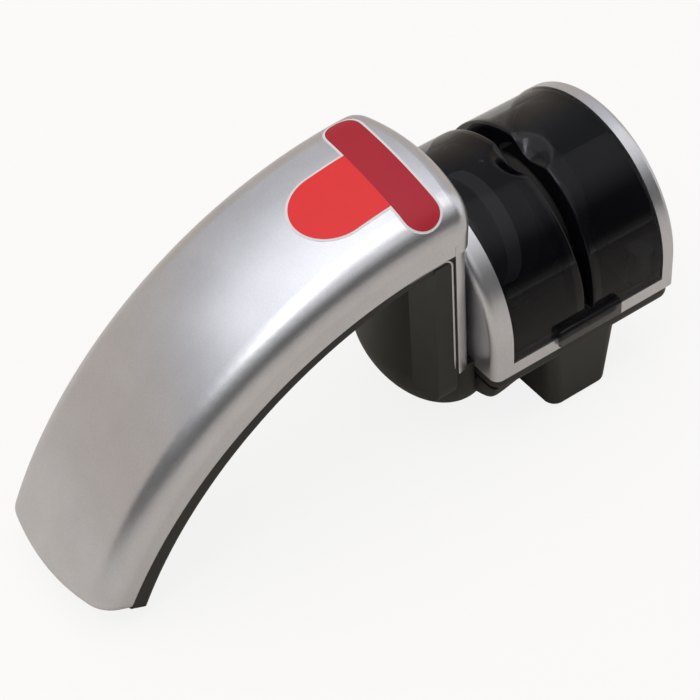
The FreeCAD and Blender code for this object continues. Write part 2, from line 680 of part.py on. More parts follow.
def make_head_housing():
    body = new_body("head_housing")
    drum = sketch_on(body, "YZ_Plane", "drum_section", (zero, zero, head_left))
    drum_outline(drum, d.head_radius, d.head_bottom_z)
    solid = pad(body, drum, "drum", d.head_length)
    bottom = d.head_bottom_z.value

    def rim_of(x):
        def wanted(edge):
            on_end = all_near(edge, lambda p: p.x - x.value)
            return on_end and any(v.Point.z > bottom + TOUCH for v in edge.Vertexes)
        return wanted
    left = fillet(body, solid, rim_of(head_left), d.left_round, "left_rounding")
    fillet(body, left, rim_of(head_right), d.right_round, "right_rounding")
    inside = sketch_on(body, "YZ_Plane", "inside_section", (zero, zero, head_left + d.head_wall))
    drum_outline(inside, d.head_radius - d.head_wall, d.head_bottom_z - d.overrun)
    pocket(body, inside, "inside", d.head_length - d.head_wall * 2, reverse=True)
    mouth = sketch_on(body, "XZ_Plane", "mouth_section")
    rectangle(mouth, head_left + d.left_band, head_right - d.right_band,
              strip_top_z, head_axis_z + d.head_radius + d.overrun)
    pocket(body, mouth, "mouth", d.head_radius * 2 + d.overrun, both_ways=True)
    # hinge ears on the rear strip
    k = d.knuckle_radius
    half = d.knuckle_length / 2 + d.move_gap
    ears = sketch_on(body, "YZ_Plane", "ear_section", (zero, zero, slot_x - half - d.ear_length))
    root_z = strip_top_z - d.strip_height / 2
    corners = [(d.head_radius - d.head_wall, root_z), (d.head_radius, root_z), (hinge_y + k, hinge_z),
               (hinge_y, hinge_z + k), (hinge_y - k, hinge_z)]
    outline(ears, corners, {2: (k, 1), 3: (k, 1)})
    pad(body, ears, "ears", (half + d.ear_length) * 2)
    gap = sketch_on(body, "XZ_Plane", "ear_gap_section")
    rectangle(gap, slot_x - half, slot_x + half, strip_top_z, hinge_z + k + d.overrun)
    pocket(body, gap, "ear_gap", d.head_radius * 2 + d.overrun * 2, both_ways=True)
    bore = sketch_on(body, "YZ_Plane", "ear_bore_section", (zero, zero, slot_x))
    circle(bore, hinge_y, hinge_z, d.pin_radius)
    pocket(body, bore, "ear_bore", (half + d.ear_length + d.overrun) * 2, both_ways=True)
    # bosses for the tray's screws
    for i, (x, y) in enumerate(screw_bosses()):
        boss = sketch_on(body, "XY_Plane", "boss_plan%d" % i, (zero, zero, tray_top_z))
        circle(boss, x, y, d.boss_radius)
        pad(body, boss, "boss%d" % i, d.boss_height)
        hole = sketch_on(body, "XY_Plane", "boss_hole_plan%d" % i, (zero, zero, tray_top_z))
        circle(hole, x, y, d.screw_radius)
        pocket(body, hole, "boss_hole%d" % i, d.screw_grip, reverse=True)
    return body


def make_dust_cover():
    body = new_body("dust_cover")
    start = head_left + d.left_band + d.move_gap
    length = head_right - d.right_band - d.move_gap - start
    bottom = strip_top_z + d.move_gap
    inner = shell_radius - d.shell_wall
    strip = sketch_on(body, "YZ_Plane", "shell_section", (zero, zero, start))
    arch_strip(strip, shell_radius, inner, bottom)
    pad(body, strip, "shell", length)
    # lips along the slot
    lip = sketch_on(body, "YZ_Plane", "lip_section", (zero, zero, slot_x))
    arch_strip(lip, shell_radius - d.shell_wall / 2, inner - d.lip_depth, bottom)
    pad(body, lip, "lips", d.slot_width + d.lip_wall * 2, both_ways=True)
    # dished mouth: a cone about a radius of the drum that leans to the front
    dish_cone(body, "Additive", "dish_wall", d.dish_wall, -d.shell_wall * d.dish_root_share)
    dish_cone(body, "Subtractive", "dish", zero, d.overrun)
    # the slot, from its front end over the top to its rear end
    slot = sketch_on(body, "YZ_Plane", "slot_section", (zero, zero, slot_x))
    wide = d.head_radius + d.overrun
    front, rear = d.head_bottom_z + d.slot_front_rise, d.head_bottom_z + d.slot_rear_rise
    top = head_axis_z + wide
    outline(slot, [(-wide, front), (0, front), (0, rear), (wide, rear), (wide, top), (-wide, top)])
    pocket(body, slot, "slot", d.slot_width, both_ways=True)
    # finger tab over the front strip
    tab = sketch_on(body, "YZ_Plane", "tab_section", (zero, zero, slot_x - d.tab_shift))
    out = -d.head_radius - d.tab_reach
    back = out + d.tab_wall
    seat = -shell_radius + d.shell_wall / 2
    low, high = d.head_bottom_z + d.tab_foot, d.head_bottom_z + d.tab_rise
    r = d.tab_round
    corners = [(out + r, low), (back, low), (back, bottom), (seat, bottom), (seat, high),
               (out + r, high), (out, high - r), (out, low + r)]
    outline(tab, corners, {5: (r, 1), 7: (r, 1)})
    pad(body, tab, "tab", d.tab_length, both_ways=True)
    # room for the drum's ears, and the knuckle between them
    half = d.knuckle_length / 2
    ears = sketch_on(body, "XZ_Plane", "ear_room_section")
    reach = half + d.move_gap * 2 + d.ear_length
    ear_top_z = hinge_z + d.knuckle_radius + d.move_gap
    rectangle(ears, slot_x - reach, slot_x + reach, bottom - d.overrun, ear_top_z)
    pocket(body, ears, "ear_room", d.head_radius + d.overrun)
    knuckle = sketch_on(body, "YZ_Plane", "knuckle_section", (zero, zero, slot_x))
    k = d.knuckle_radius
    wall_top = ear_top_z + d.move_gap
    corners = [(hinge_y, hinge_z - k), (hinge_y + k, hinge_z), (hinge_y, hinge_z + k),
               (shell_radius, wall_top), (inner, wall_top), (hinge_y - k, hinge_z)]
    outline(knuckle, corners, {0: (k, 1), 1: (k, 1), 5: (k, 1)})
    pad(body, knuckle, "knuckle", d.knuckle_length, both_ways=True)
    bore = sketch_on(body, "YZ_Plane", "knuckle_bore_section", (zero, zero, slot_x))
    circle(bore, hinge_y, hinge_z, d.pin_radius + d.run_gap)
    pocket(body, bore, "knuckle_bore", d.knuckle_length + d.overrun, both_ways=True)
    return body


def dish_cone(body, kind, name, wall, top):
    """A cone that opens outwards, thicker than the dish by a wall; top is its end above the surface."""
    cone = body.newObject("PartDesign::%sCone" % kind, name)
    cone.AttachmentSupport = (plane(body, "XY_Plane"), "")
    cone.MapMode = "FlatFace"
    tilt = d.dish_tilt_deg
    depth = d.dish_depth + wall
    reach = shell_radius - depth
    y, z = -reach * sine(tilt), head_axis_z + reach * cosine(tilt)
    cone.AttachmentOffset = FreeCAD.Placement(
        V(slot_x.value, y.value, z.value), FreeCAD.Rotation(V(1, 0, 0), tilt.value))
    for letter, size in (("x", slot_x), ("y", y), ("z", z)):
        bind(cone, "AttachmentOffset.Base." + letter, size)
    bind(cone, "AttachmentOffset.Rotation.Angle", tilt)
    slope = (d.dish_radius - d.dish_floor_radius) / d.dish_depth
    bind(cone, "Radius1", d.dish_floor_radius + wall)
    height = depth + top
    bind(cone, "Height", height)
    bind(cone, "Radius2", d.dish_floor_radius + wall + slope * height)
    return cone


def make_base_tray():
    body = new_body("base_tray")
    x0, x1 = head_left + d.tray_inset, head_right - d.tray_inset
    w = d.head_radius - d.tray_inset
    plan = sketch_on(body, "XY_Plane", "tray_plan", (zero, zero, tray_bottom_z))
    rounded_rectangle(plan, x0, x1, -w, w, d.tray_corner)
    tray = pad(body, plan, "tray", tray_top_z - tray_bottom_z)
    low = tray_bottom_z.value
    fillet(body, tray, lambda edge: all_near(edge, lambda p: p.z - low), d.tray_round, "tray_rounding")
    for i, (x, y) in enumerate(screw_bosses()):
        recess = sketch_on(body, "XY_Plane", "screw_recess_plan%d" % i, (zero, zero, tray_bottom_z + d.head_recess))
        circle(recess, x, y, d.screw_head_radius + d.seat_gap)
        pocket(body, recess, "screw_recess%d" % i, d.head_recess + d.overrun)
    # drafted foot bar
    bars = []
    for name, z, length, half in (
            ("bar_top_plan", tray_bottom_z + d.tray_round, d.bar_top_length, w),
            ("bar_foot_plan", bar_bottom_z, d.bar_bottom_length, d.bar_bottom_half_width)):
        sketch = sketch_on(body, "XY_Plane", name, (zero, zero, z))
        rounded_rectangle(sketch, bar_x - length / 2, bar_x + length / 2, -half, half, d.bar_corner)
        bars.append(sketch)
    bar = loft(body, "Additive", bars, "foot_bar")
    foot = bar_bottom_z.value
    fillet(body, bar, lambda edge: all_near(edge, lambda p: p.z - foot), d.bar_round, "bar_rounding")
    # lip that locates the drum
    lip = sketch_on(body, "XY_Plane", "lip_plan", (zero, zero, tray_floor_z))
    inset = d.head_wall + d.seat_gap
    rectangle(lip, head_left + inset, head_right - inset, inset - d.head_radius, d.head_radius - inset)
    pad(body, lip, "lip", tray_top_z + d.tray_lip_height - tray_floor_z)
    hollow = sketch_on(body, "XY_Plane", "hollow_plan", (zero, zero, tray_top_z))
    inset = inset + d.tray_lip_wall
    rectangle(hollow, head_left + inset, head_right - inset, inset - d.head_radius, d.head_radius - inset)
    pocket(body, hollow, "hollow", d.tray_lip_height + d.overrun, reverse=True)
    floor = sketch_on(body, "XY_Plane", "floor_plan", (zero, zero, tray_floor_z))
    rectangle(floor, head_left + d.tray_margin, head_right - d.tray_margin,
              inset - d.head_radius, d.head_radius - inset)
    pocket(body, floor, "floor", d.tray_depth + d.overrun, reverse=True)
    # room in the lip for the drum's bosses
    for i, (x, y) in enumerate(screw_bosses()):
        room = sketch_on(body, "XY_Plane", "boss_room_plan%d" % i, (zero, zero, tray_top_z))
        circle(room, x, y, d.boss_radius + d.seat_gap)
        pocket(body, room, "boss_room%d" % i, d.tray_lip_height + d.overrun, reverse=True)
        hole = sketch_on(body, "XY_Plane", "screw_hole_plan%d" % i, (zero, zero, tray_bottom_z))
        circle(hole, x, y, d.screw_radius + d.seat_gap)
        pocket(body, hole, "screw_hole%d" % i, d.tray_depth, reverse=True)
    # dust well in the foot bar
    well = sketch_on(body, "XY_Plane", "well_plan", (zero, zero, bar_bottom_z + d.pad_sink + d.bar_wall))
    half_x = least(d.bar_bottom_length / 2 - d.bar_wall, cradle_screw_reach - d.bar_shift - d.boss_seat)
    half_y = d.bar_bottom_half_width - d.bar_wall
    rectangle(well, bar_x - half_x, bar_x + half_x, -half_y, half_y)
    pocket(body, well, "well", tray_floor_z, reverse=True)
    # bosses for the cradle and the neck
    for i, (x, y) in enumerate(cradle_screw_places()):
        boss_z = tray_floor_z - d.tray_floor / 2
        boss = sketch_on(body, "XY_Plane", "cradle_boss_plan%d" % i, (zero, zero, boss_z))
        circle(boss, x, y, d.boss_radius)
        pad(body, boss, "cradle_boss%d" % i, d.cradle_boss_height + d.tray_floor / 2)
        hole = sketch_on(body, "XY_Plane", "cradle_hole_plan%d" % i, (zero, zero, cradle_z))
        circle(hole, x, y, d.screw_radius)
        pocket(body, hole, "cradle_hole%d" % i, d.cradle_boss_height + d.tray_floor / 2)
    for i, y in enumerate((-d.neck_screw_y, d.neck_screw_y)):
        x = head_left + d.neck_screw_inset
        boss = sketch_on(body, "XY_Plane", "neck_boss_plan%d" % i, (zero, zero, tray_bottom_z + d.tray_round))
        circle(boss, x, y, d.boss_radius)
        pad(body, boss, "neck_boss%d" % i, tray_floor_z + d.neck_boss_height - tray_bottom_z - d.tray_round)
        hole = sketch_on(body, "XY_Plane", "neck_screw_hole_plan%d" % i, (zero, zero, tray_bottom_z))
        circle(hole, x, y, d.screw_radius)
        pocket(body, hole, "neck_screw_hole%d" % i, d.screw_grip, reverse=True)
    # seats of the rubber pads
    for i, y in enumerate((-d.pad_y, d.pad_y)):
        seat = sketch_on(body, "XY_Plane", "pad_seat_plan%d" % i, (zero, zero, bar_bottom_z))
        pad_outline(seat, y, d.seat_gap)
        pocket(body, seat, "pad_seat%d" % i, d.pad_sink, reverse=True)
    return body


def pad_outline(sketch, y, gap):
    half_x = d.pad_length / 2 + gap
    half_y = d.pad_width / 2 + gap
    rounded_rectangle(sketch, bar_x - half_x, bar_x + half_x, y - half_y, y + half_y, d.pad_corner)


def make_foot_pads():
    pads = []
    for i, y in enumerate((-d.pad_y, d.pad_y)):
        body = new_body("foot_pad%d" % i)
        plan = sketch_on(body, "XY_Plane", "pad_plan%d" % i)
        pad_outline(plan, y, zero)
        pad(body, plan, "pad%d" % i, d.pad_stand + d.pad_sink)
        pads.append(body)
    return group("foot_pads", pads)


def cradle_screw_places():
    return [(slot_x + side * cradle_screw_reach, y)
            for side in (-1, 1) for y in (-d.cradle_screw_y, d.cradle_screw_y)]


def make_wheel_cradle():
    body = new_body("wheel_cradle")
    side = sketch_on(body, "YZ_Plane", "upright_section", (zero, zero, slot_x))
    w, r = d.cradle_half_width, d.upright_top_radius
    corners = [(-w, cradle_z), (w, cradle_z), (w, cradle_z + d.cradle_plate), (r, axle_z), (0, axle_z + r),
               (-r, axle_z), (-w, cradle_z + d.cradle_plate)]
    outline(side, corners, {3: (r, 1), 4: (r, 1)})
    pad(body, side, "uprights", upright_outer * 2, both_ways=True)
    gap = sketch_on(body, "XZ_Plane", "wheel_room_section")
    rectangle(gap, slot_x - upright_inner, slot_x + upright_inner,
              cradle_z + d.cradle_plate, axle_z + r + d.overrun)
    pocket(body, gap, "wheel_room", w * 2 + d.overrun, both_ways=True)
    window = sketch_on(body, "XY_Plane", "window_plan", (zero, zero, cradle_z + d.cradle_plate))
    half = upright_inner - d.window_margin
    rectangle(window, slot_x - half, slot_x + half, -d.window_half_width, d.window_half_width)
    pocket(body, window, "window", d.cradle_plate + d.overrun)
    bore = sketch_on(body, "YZ_Plane", "bush_bore_section", (zero, zero, slot_x))
    circle(bore, 0, axle_z, d.bush_radius)
    pocket(body, bore, "bush_bores", upright_outer * 2 + d.overrun, both_ways=True)
    for i, (x, y) in enumerate(cradle_screw_places()):
        hole = sketch_on(body, "XY_Plane", "screw_hole_plan%d" % i, (zero, zero, cradle_z + d.cradle_plate))
        circle(hole, x, y, d.screw_radius + d.seat_gap)
        pocket(body, hole, "screw_hole%d" % i, d.cradle_plate + d.overrun)
    return body


def turned(label, profile):
    """A piece turned about the axle; profile gives distances from the slot's middle, and radii."""
    body = new_body(label)
    section = sketch_on(body, "XZ_Plane", label + "_section", (slot_x, axle_z, zero))
    outline(section, profile)
    feature = body.newObject("PartDesign::Revolution", label + "_turning")
    feature.Profile = section
    feature.ReferenceAxis = (section, ["H_Axis"])
    feature.Angle = 360
    return body


def mirrored(profile, side):
    return [(x * side, r) for x, r in profile]


def make_wheels():
    pieces = []
    bore = d.axle_radius + d.run_gap
    core = [(ring_inner, bore), (ring_inner, d.ring_bore_radius), (ring_outer, d.ring_bore_radius),
            (ring_outer, d.wheel_radius), (rim_outer, d.wheel_radius), (rim_outer, d.hub_radius),
            (hub_end, d.hub_radius), (hub_end, bore)]
    seat = d.ring_bore_radius + d.run_gap
    ring = [(ring_inner, seat), (ring_inner, d.bevel_root_radius),
            (ring_inner + d.bevel_width, d.ring_radius), (ring_outer, d.ring_radius), (ring_outer, seat)]
    bush = [(bush_inner, bore), (bush_inner, d.bush_flange_radius),
            (upright_inner, d.bush_flange_radius), (upright_inner, d.bush_radius),
            (upright_outer, d.bush_radius), (upright_outer, bore)]
    washer = [(washer_inner, bore), (washer_inner, d.washer_radius), (washer_outer, d.washer_radius),
              (washer_outer, bore)]
    clip = [(clip_inner, d.groove_radius), (clip_inner, d.clip_radius), (clip_outer, d.clip_radius),
            (clip_outer, d.groove_radius)]
    washers, clips = [], []
    for name, side in (("left", -1), ("right", 1)):
        pieces.append(turned(name + "_wheel_core", mirrored(core, side)))
        pieces.append(turned(name + "_abrasive_ring", mirrored(ring, side)))
        pieces.append(turned(name + "_bush", mirrored(bush, side)))
        washers.append(turned(name + "_washer", mirrored(washer, side)))
        clips.append(turned(name + "_clip", mirrored(clip, side)))
    half = d.spacer_width / 2
    spacer = [(-half, bore), (half, bore), (half, d.spacer_radius), (-half, d.spacer_radius)]
    pieces.append(turned("centre_spacer", spacer))
    upper = [(axle_tip, d.axle_radius), (clip_outer, d.axle_radius), (clip_outer, d.groove_radius),
             (clip_inner, d.groove_radius), (clip_inner, d.axle_radius)]
    shaft = [(-axle_tip, zero), (axle_tip, zero)] + upper + mirrored(upper[::-1], -1)
    pieces.append(turned("axle", shaft))
    pieces.append(group("thrust_washers", washers))
    pieces.append(group("retaining_clips", clips))
    return pieces


def rod(name, radius, length, x, y, z, turn_axis=None, turn=None):
    cylinder = doc.addObject("Part::Cylinder", name)
    bind(cylinder, "Radius", radius)
    bind(cylinder, "Height", length)
    if turn is not None:
        cylinder.Placement = FreeCAD.Placement(V(0, 0, 0), FreeCAD.Rotation(turn_axis, turn.value))
        bind(cylinder, "Placement.Rotation.Angle", turn)
    for letter, size in (("x", x), ("y", y), ("z", z)):
        bind(cylinder, "Placement.Base." + letter, as_size(size))
    return cylinder


def group(label, pieces):
    compound = doc.addObject("Part::Compound", label)
    compound.Label = label
    compound.Links = pieces
    return compound


def upright_screw(name, x, y, seat_z, length, upwards=True):
    """A screw with its head's seat at a height and its shank running up, or down, from there."""
    head_z = seat_z - d.screw_head if upwards else seat_z
    shank_z = seat_z if upwards else seat_z - length
    screw = doc.addObject("Part::Fuse", name)
    screw.Base = rod(name + "_head", d.screw_head_radius, d.screw_head, x, y, head_z)
    screw.Tool = rod(name + "_shank", d.screw_radius, length, x, y, shank_z)
    return screw


def make_screws():
    seat = tray_bottom_z + d.head_recess
    base = [upright_screw("base_screw%d" % i, x, y, seat, tray_top_z + d.screw_grip - d.seat_gap - seat)
            for i, (x, y) in enumerate(screw_bosses())]
    length = tray_bottom_z + d.screw_grip - d.seat_gap - d.neck_floor_z
    neck = [upright_screw("neck_screw%d" % i, head_left + d.neck_screw_inset, y, d.neck_floor_z, length)
            for i, y in enumerate((-d.neck_screw_y, d.neck_screw_y))]
    depth = d.cradle_plate + d.cradle_boss_height + d.tray_floor / 2 - d.seat_gap
    cradle = [upright_screw("cradle_screw%d" % i, x, y, cradle_z + d.cradle_plate, depth, upwards=False)
              for i, (x, y) in enumerate(cradle_screw_places())]
    handle = []
    for i, angle in enumerate(screw_angles()):
        seat = rim_low(angle) + d.head_recess
        name = "handle_screw%d" % i
        screw = doc.addObject("Part::Fuse", name)
        reach = d.spigot_height + d.screw_grip - d.seat_gap - seat
        for part, low, radius, length in (("Base", seat - d.screw_head, d.screw_head_radius, d.screw_head),
                                          ("Tool", seat, d.screw_radius, reach)):
            x, z = arch_point(angle, low)
            setattr(screw, part, rod(name + part, radius, length, x, zero, z, V(0, 1, 0), -angle))
        handle.append(screw)
    return [group("base_screws", base), group("neck_screws", neck),
            group("cradle_screws", cradle), group("handle_screws", handle)]


def make_hinge_pin():
    half = d.knuckle_length / 2 + d.move_gap + d.ear_length
    pin = rod("hinge_pin", d.pin_radius, half * 2, slot_x - half, hinge_y, hinge_z, V(0, 1, 0), as_size(90))
    pin.Label = "hinge_pin"
    return pin


pieces = [make_handle_cover(), make_handle_grip(), make_head_housing(), make_base_tray(), make_dust_cover(),
          make_hinge_pin(), make_wheel_cradle(), make_foot_pads()]
pieces += make_wheels()
pieces += make_screws()
doc.recompute()

# Every object has to be sound before anything is written
for item in doc.Objects:
    if "Invalid" in item.State or "Error" in item.State:
        raise RuntimeError("%s is %s" % (item.Label, item.State))
for piece in pieces:
    if piece.Shape.isNull() or not piece.Shape.isValid() or not piece.Shape.Solids:
        raise RuntimeError("%s has no sound shape" % piece.Label)

os.makedirs("parts", exist_ok=True)
for piece in pieces:
    piece.Shape.exportStep("parts/%s.step" % piece.Label)
    box = piece.Shape.BoundBox
    print("%-22s %d solid(s) %8.0f mm3  x %.1f..%.1f  y %.1f..%.1f  z %.1f..%.1f" % (
        piece.Label, len(piece.Shape.Solids), piece.Shape.Volume,
        box.XMin, box.XMax, box.YMin, box.YMax, box.ZMin, box.ZMax))
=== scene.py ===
"""Looks of a pull-through knife sharpener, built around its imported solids. Metres."""
import json
import math

import bmesh
import bpy
from bpy.props import FloatProperty, FloatVectorProperty, PointerProperty
from mathutils import Matrix, Vector


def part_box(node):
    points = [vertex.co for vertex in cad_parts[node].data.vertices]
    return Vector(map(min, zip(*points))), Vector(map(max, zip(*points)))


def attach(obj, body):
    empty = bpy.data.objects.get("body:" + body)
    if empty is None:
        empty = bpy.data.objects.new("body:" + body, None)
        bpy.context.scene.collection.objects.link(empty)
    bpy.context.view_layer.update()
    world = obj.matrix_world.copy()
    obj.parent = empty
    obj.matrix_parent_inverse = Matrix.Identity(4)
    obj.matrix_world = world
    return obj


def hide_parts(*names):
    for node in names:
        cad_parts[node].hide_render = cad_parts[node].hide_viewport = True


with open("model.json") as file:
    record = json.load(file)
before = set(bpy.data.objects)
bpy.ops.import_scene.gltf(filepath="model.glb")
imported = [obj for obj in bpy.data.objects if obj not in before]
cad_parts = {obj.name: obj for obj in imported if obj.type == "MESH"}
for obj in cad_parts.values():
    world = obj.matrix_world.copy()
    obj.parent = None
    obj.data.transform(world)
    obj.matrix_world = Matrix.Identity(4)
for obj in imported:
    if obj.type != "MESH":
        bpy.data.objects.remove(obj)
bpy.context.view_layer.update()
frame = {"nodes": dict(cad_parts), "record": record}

bl_info = {
    "name": "Pull-through knife sharpener",
    "version": (1, 0, 0),
    "blender": (4, 5, 0),
    "location": "View3D > Sidebar > Sharpener",
    "description": "Dresses the solids of a pull-through knife sharpener with its finishes and fine parts",
    "category": "Object",
}

MM = 0.001
WHITE = (1.0, 1.0, 1.0)


def length(name, description, millimetres):
    return FloatProperty(name=name, description=description, default=millimetres * MM, unit="LENGTH",
                         precision=5)


def angle(name, description, degrees):
    return FloatProperty(name=name, description=description, default=math.radians(degrees), subtype="ANGLE")


def share(name, description, default):
    return FloatProperty(name=name, description=description, default=default, subtype="FACTOR", min=0, max=1)


def colour(name, description, default):
    return FloatVectorProperty(name=name, description=description, default=default, size=3,
                               subtype="COLOR", min=0, max=1)


def power(name, description, watts):
    return FloatProperty(name=name, description=description, default=watts, unit="POWER")


def position(name, description, default):
    return FloatVectorProperty(name=name, description=description, default=default, size=3, subtype="XYZ",
                               unit="LENGTH")


class SharpenerFinishes(bpy.types.PropertyGroup):
    silver: colour("Silver", "Satin metallic paint of the shells", (0.585, 0.585, 0.612))
    black: colour("Black", "Moulded satin plastic", (0.018, 0.018, 0.0155))
    smoke: colour("Smoke", "Tinted clear plastic of the cover", (0.004, 0.004, 0.006))
    smoke_density: share("Smoke density", "How much each face of the cover hides", 0.62)
    lip_density: share("Lip density", "How much the lips of the blade slot hide, seen edge on", 0.96)
    label_bar: colour("Label bar", "Dark red of the label", (0.45, 0.02, 0.036))
    label_tongue: colour("Label tongue", "Bright red of the label", (0.86, 0.04, 0.042))
    label_line: colour("Label line", "Pale outline of the label", (0.82, 0.8, 0.8))
    core: colour("Wheel core", "Light plastic of the near wheel's core", (0.82, 0.8, 0.88))
    # Painted shade: the far wheel's core is the same light plastic as the near one, drawn in this darker
    # tone.
    far_core: colour("Far wheel core", "Darker plastic of the far wheel's core", (0.13, 0.125, 0.14))
    abrasive: colour("Abrasive", "Sintered grit of the grinding rings", (0.055, 0.05, 0.047))
    frame: colour("Frame", "Grey plastic of the cradle", (0.03, 0.03, 0.034))
    steel: colour("Steel", "Screws, axle and pin", (0.5, 0.5, 0.5))
    bronze: colour("Bronze", "Bushes and washers", (0.45, 0.29, 0.13))
    rubber: colour("Rubber", "Pads under the foot", (0.014, 0.014, 0.014))


class SharpenerHandle(bpy.types.PropertyGroup):
    apex_x: length("Apex along", "Where the shell's lower edge is highest", 20.85)
    apex_z: length("Apex height", "Height of the shell's lower edge there", 56.5)
    edge_radius: length("Edge radius", "Radius of the shell's lower edge", 98.1)
    start: angle("Arch start", "Angle on that arc where the shell meets its leg", -1.168)
    end: angle("Arch end", "Angle on that arc at the tip", 63.4)
    half_width: length("Half width", "Half width of the shell at the column", 21.4)
    tip_half_width: length("Tip half width", "Half width of the shell at the tip", 19.4)
    crown: length("Crown", "Height of the crown above the edge, at the column", 12.9)
    tip_crown: length("Tip crown", "The same at the tip", 9.0)
    crown_radius: length("Crown radius", "Radius of the crown across the handle", 120.0)
    corner: share("Corner", "Radius of the shell's corners over its crown", 0.6)
    bulge: share("Bulge", "How much fuller the middle of the arch is than a straight taper", 0.45)
    leg_inner: length("Leg", "Inner face of the silver leg", 18.65)


class SharpenerLabel(bpy.types.PropertyGroup):
    bar_width: length("Bar width", "Width of the dark bar", 8.2)
    bar_far: length("Bar far end", "Far end of the bar from the middle, round the crown", 17.2)
    bar_near: length("Bar near end", "Near end of the bar from the middle, round the crown", -20.5)
    bar_far_along: length("Bar far place", "Middle of the bar's far end, along the arch", 4.4)
    bar_near_along: length("Bar near place", "Middle of the bar's near end, along the arch", 7.4)
    tongue_end: length("Tongue end", "End of the bright tongue, along the arch", 28.4)
    tongue_half: length("Tongue half width", "Half width of the tongue", 9.1)
    tongue_middle: length("Tongue middle", "Middle of the tongue, round the crown", -2.4)
    outline: length("Outline", "Width of the pale line round the label", 0.55)
    thickness: length("Thickness", "Thickness of the film", 0.04)


class SharpenerCover(bpy.types.PropertyGroup):
    axis_z: length("Drum axis", "Height of the drum's axis", 28.6)
    radius: length("Radius", "Outer radius of the cover", 27.5)
    wall: length("Wall", "Wall of the cover", 1.8)
    bottom: length("Bottom", "Height of the cover's lower edge", 24.25)
    slot_x: length("Slot", "Middle of the blade slot", 49.65)
    slot_half: length("Slot half width", "Half width of the slot at the top", 2.05)
    slot_tail: length("Slot tail", "Half width of the slot at its front end", 1.1)
    slot_front: length("Slot front", "Height of the slot's front end", 27.0)
    slot_rear: length("Slot rear", "Height of the slot's rear end", 31.8)
    lip_depth: length("Lip depth", "How far the slot's lips reach below the surface", 5.4)
    lip_rear: length("Rear lip", "How much further they reach behind the wheels", 3.4)
    lip_wall: length("Lip wall", "Wall of the lips", 1.2)
    edge: length("Slot edge", "Rounding of the slot's edges", 0.55)
    dish_radius: length("Dish", "Radius of the dished mouth", 6.8)
    dish_floor: length("Dish floor", "Radius of its floor", 1.4)
    dish_depth: length("Dish depth", "Depth of the dished mouth", 3.7)
    dish_lean: angle("Dish lean", "How far the dish lies in front of the top", 8.0)
    tab_x: length("Tab", "Middle of the finger tab", 48.95)
    tab_half: length("Tab half length", "Half length of the finger tab", 8.6)
    tab_out: length("Tab reach", "Outer face of the tab from the middle plane", 29.3)
    tab_low: length("Tab foot", "Height of the tab's lower edge", 22.1)
    tab_high: length("Tab top", "Height of the tab's upper edge", 26.7)
    hinge_y: length("Hinge place", "Hinge axis from the middle plane", 27.1)
    hinge_z: length("Hinge height", "Height of the hinge axis", 26.6)
    knuckle: length("Knuckle", "Radius of the knuckle", 2.2)
    knuckle_half: length("Knuckle half length", "Half length of the knuckle", 7.5)
    ear_room: length("Ear room", "Half length of the room for the drum's ears", 12.0)
    pin_bore: length("Pin bore", "Radius of the knuckle's bore", 1.04)


class SharpenerLip(bpy.types.PropertyGroup):
    inset: length("Inset", "Middle of the lip from the edges of the shell", 0.6)
    bend: length("Bend", "Radius of the lip's corner between arch and leg", 2.2)
    radius: length("Radius", "Radius of the lip", 0.26)
    drop: length("Drop", "How far the lip runs down the leg", 30.0)


class SharpenerHeel(bpy.types.PropertyGroup):
    half_width: length("Half width", "Half width of the heel", 26.4)
    reach: length("Reach", "How far the heel runs along the tray's underside", 13.0)
    depth: length("Depth", "Depth of the heel in the middle", 9.0)
    top: length("Top", "Height of the heel's root in the tray", 17.4)
    corner: length("Corner", "Upright corners of the tray", 3.0)


class SharpenerScrews(bpy.types.PropertyGroup):
    head_radius: length("Head radius", "Radius of the screw heads", 2.5)
    head: length("Head", "Height of the screw heads", 1.6)
    shank: length("Shank radius", "Radius of the shanks", 1.4)
    recess: length("Recess", "Length of the cross recess", 2.8)
    recess_width: length("Recess width", "Width of the cross recess", 0.62)
    recess_depth: length("Recess depth", "Depth of the cross recess", 0.9)
    seat_depth: length("Seat depth", "Depth of a handle screw's seat where the arch starts", 0.8)
    seat_fall: length("Seat fall", "How much deeper such a seat is where the arch ends", 2.2)
    arch_reach: length("Arch reach", "How far the handle screws reach above the arch's edge", 7.9)


class SharpenerStage(bpy.types.PropertyGroup):
    azimuth: angle("Azimuth", "Camera's turn round the object", -32.48)
    elevation: angle("Elevation", "Camera's height above the horizon", 45.13)
    roll: angle("Roll", "Camera's turn about its own axis", -4.46)
    distance: length("Distance", "Camera from the point it looks at", 468.8)
    lens: FloatProperty(name="Lens", description="Focal length in millimetres", default=110.5, unit="CAMERA")
    target: position("Target", "Point that the camera looks at", (0.00509, 0.0, 0.02118))
    floor: colour("Floor", "Pale floor", (0.9, 0.825, 0.735))
    whiteness: share("Whiteness", "How far the camera sees the floor as plain white", 0.86)
    fill: FloatProperty(name="Fill", description="Strength of the even light from all round", default=0.45)
    key: power("Key", "Power of the large soft lamp above", 2.4)
    key_size: length("Key size", "Side of the large lamp", 850)
    key_place: position("Key place", "Middle of the large lamp", (-0.08, 0.16, 0.72))
    spark: power("Small lamp", "Power of the small lamp", 0.55)
    spark_size: length("Small lamp size", "Side of the small lamp", 180)
    spark_place: position("Small lamp place", "Middle of the small lamp", (-0.32, -0.18, 0.87))
    lamp_tone: colour("Lamp tone", "Tone of both lamps", (0.97, 0.98, 1.0))
    cloth_reach: length("Cloth reach", "Distance of the hung cloths from the middle", 1600)
    flag: colour("Flag", "Dark cloth in front of the set, which polished faces reflect", (0.06, 0.06, 0.055))
    sweep: colour("Sweep", "Warm cloth behind the set", (0.61, 0.54, 0.47))
    ceiling: colour("Ceiling", "Cool cloth above it", (0.52, 0.535, 0.57))


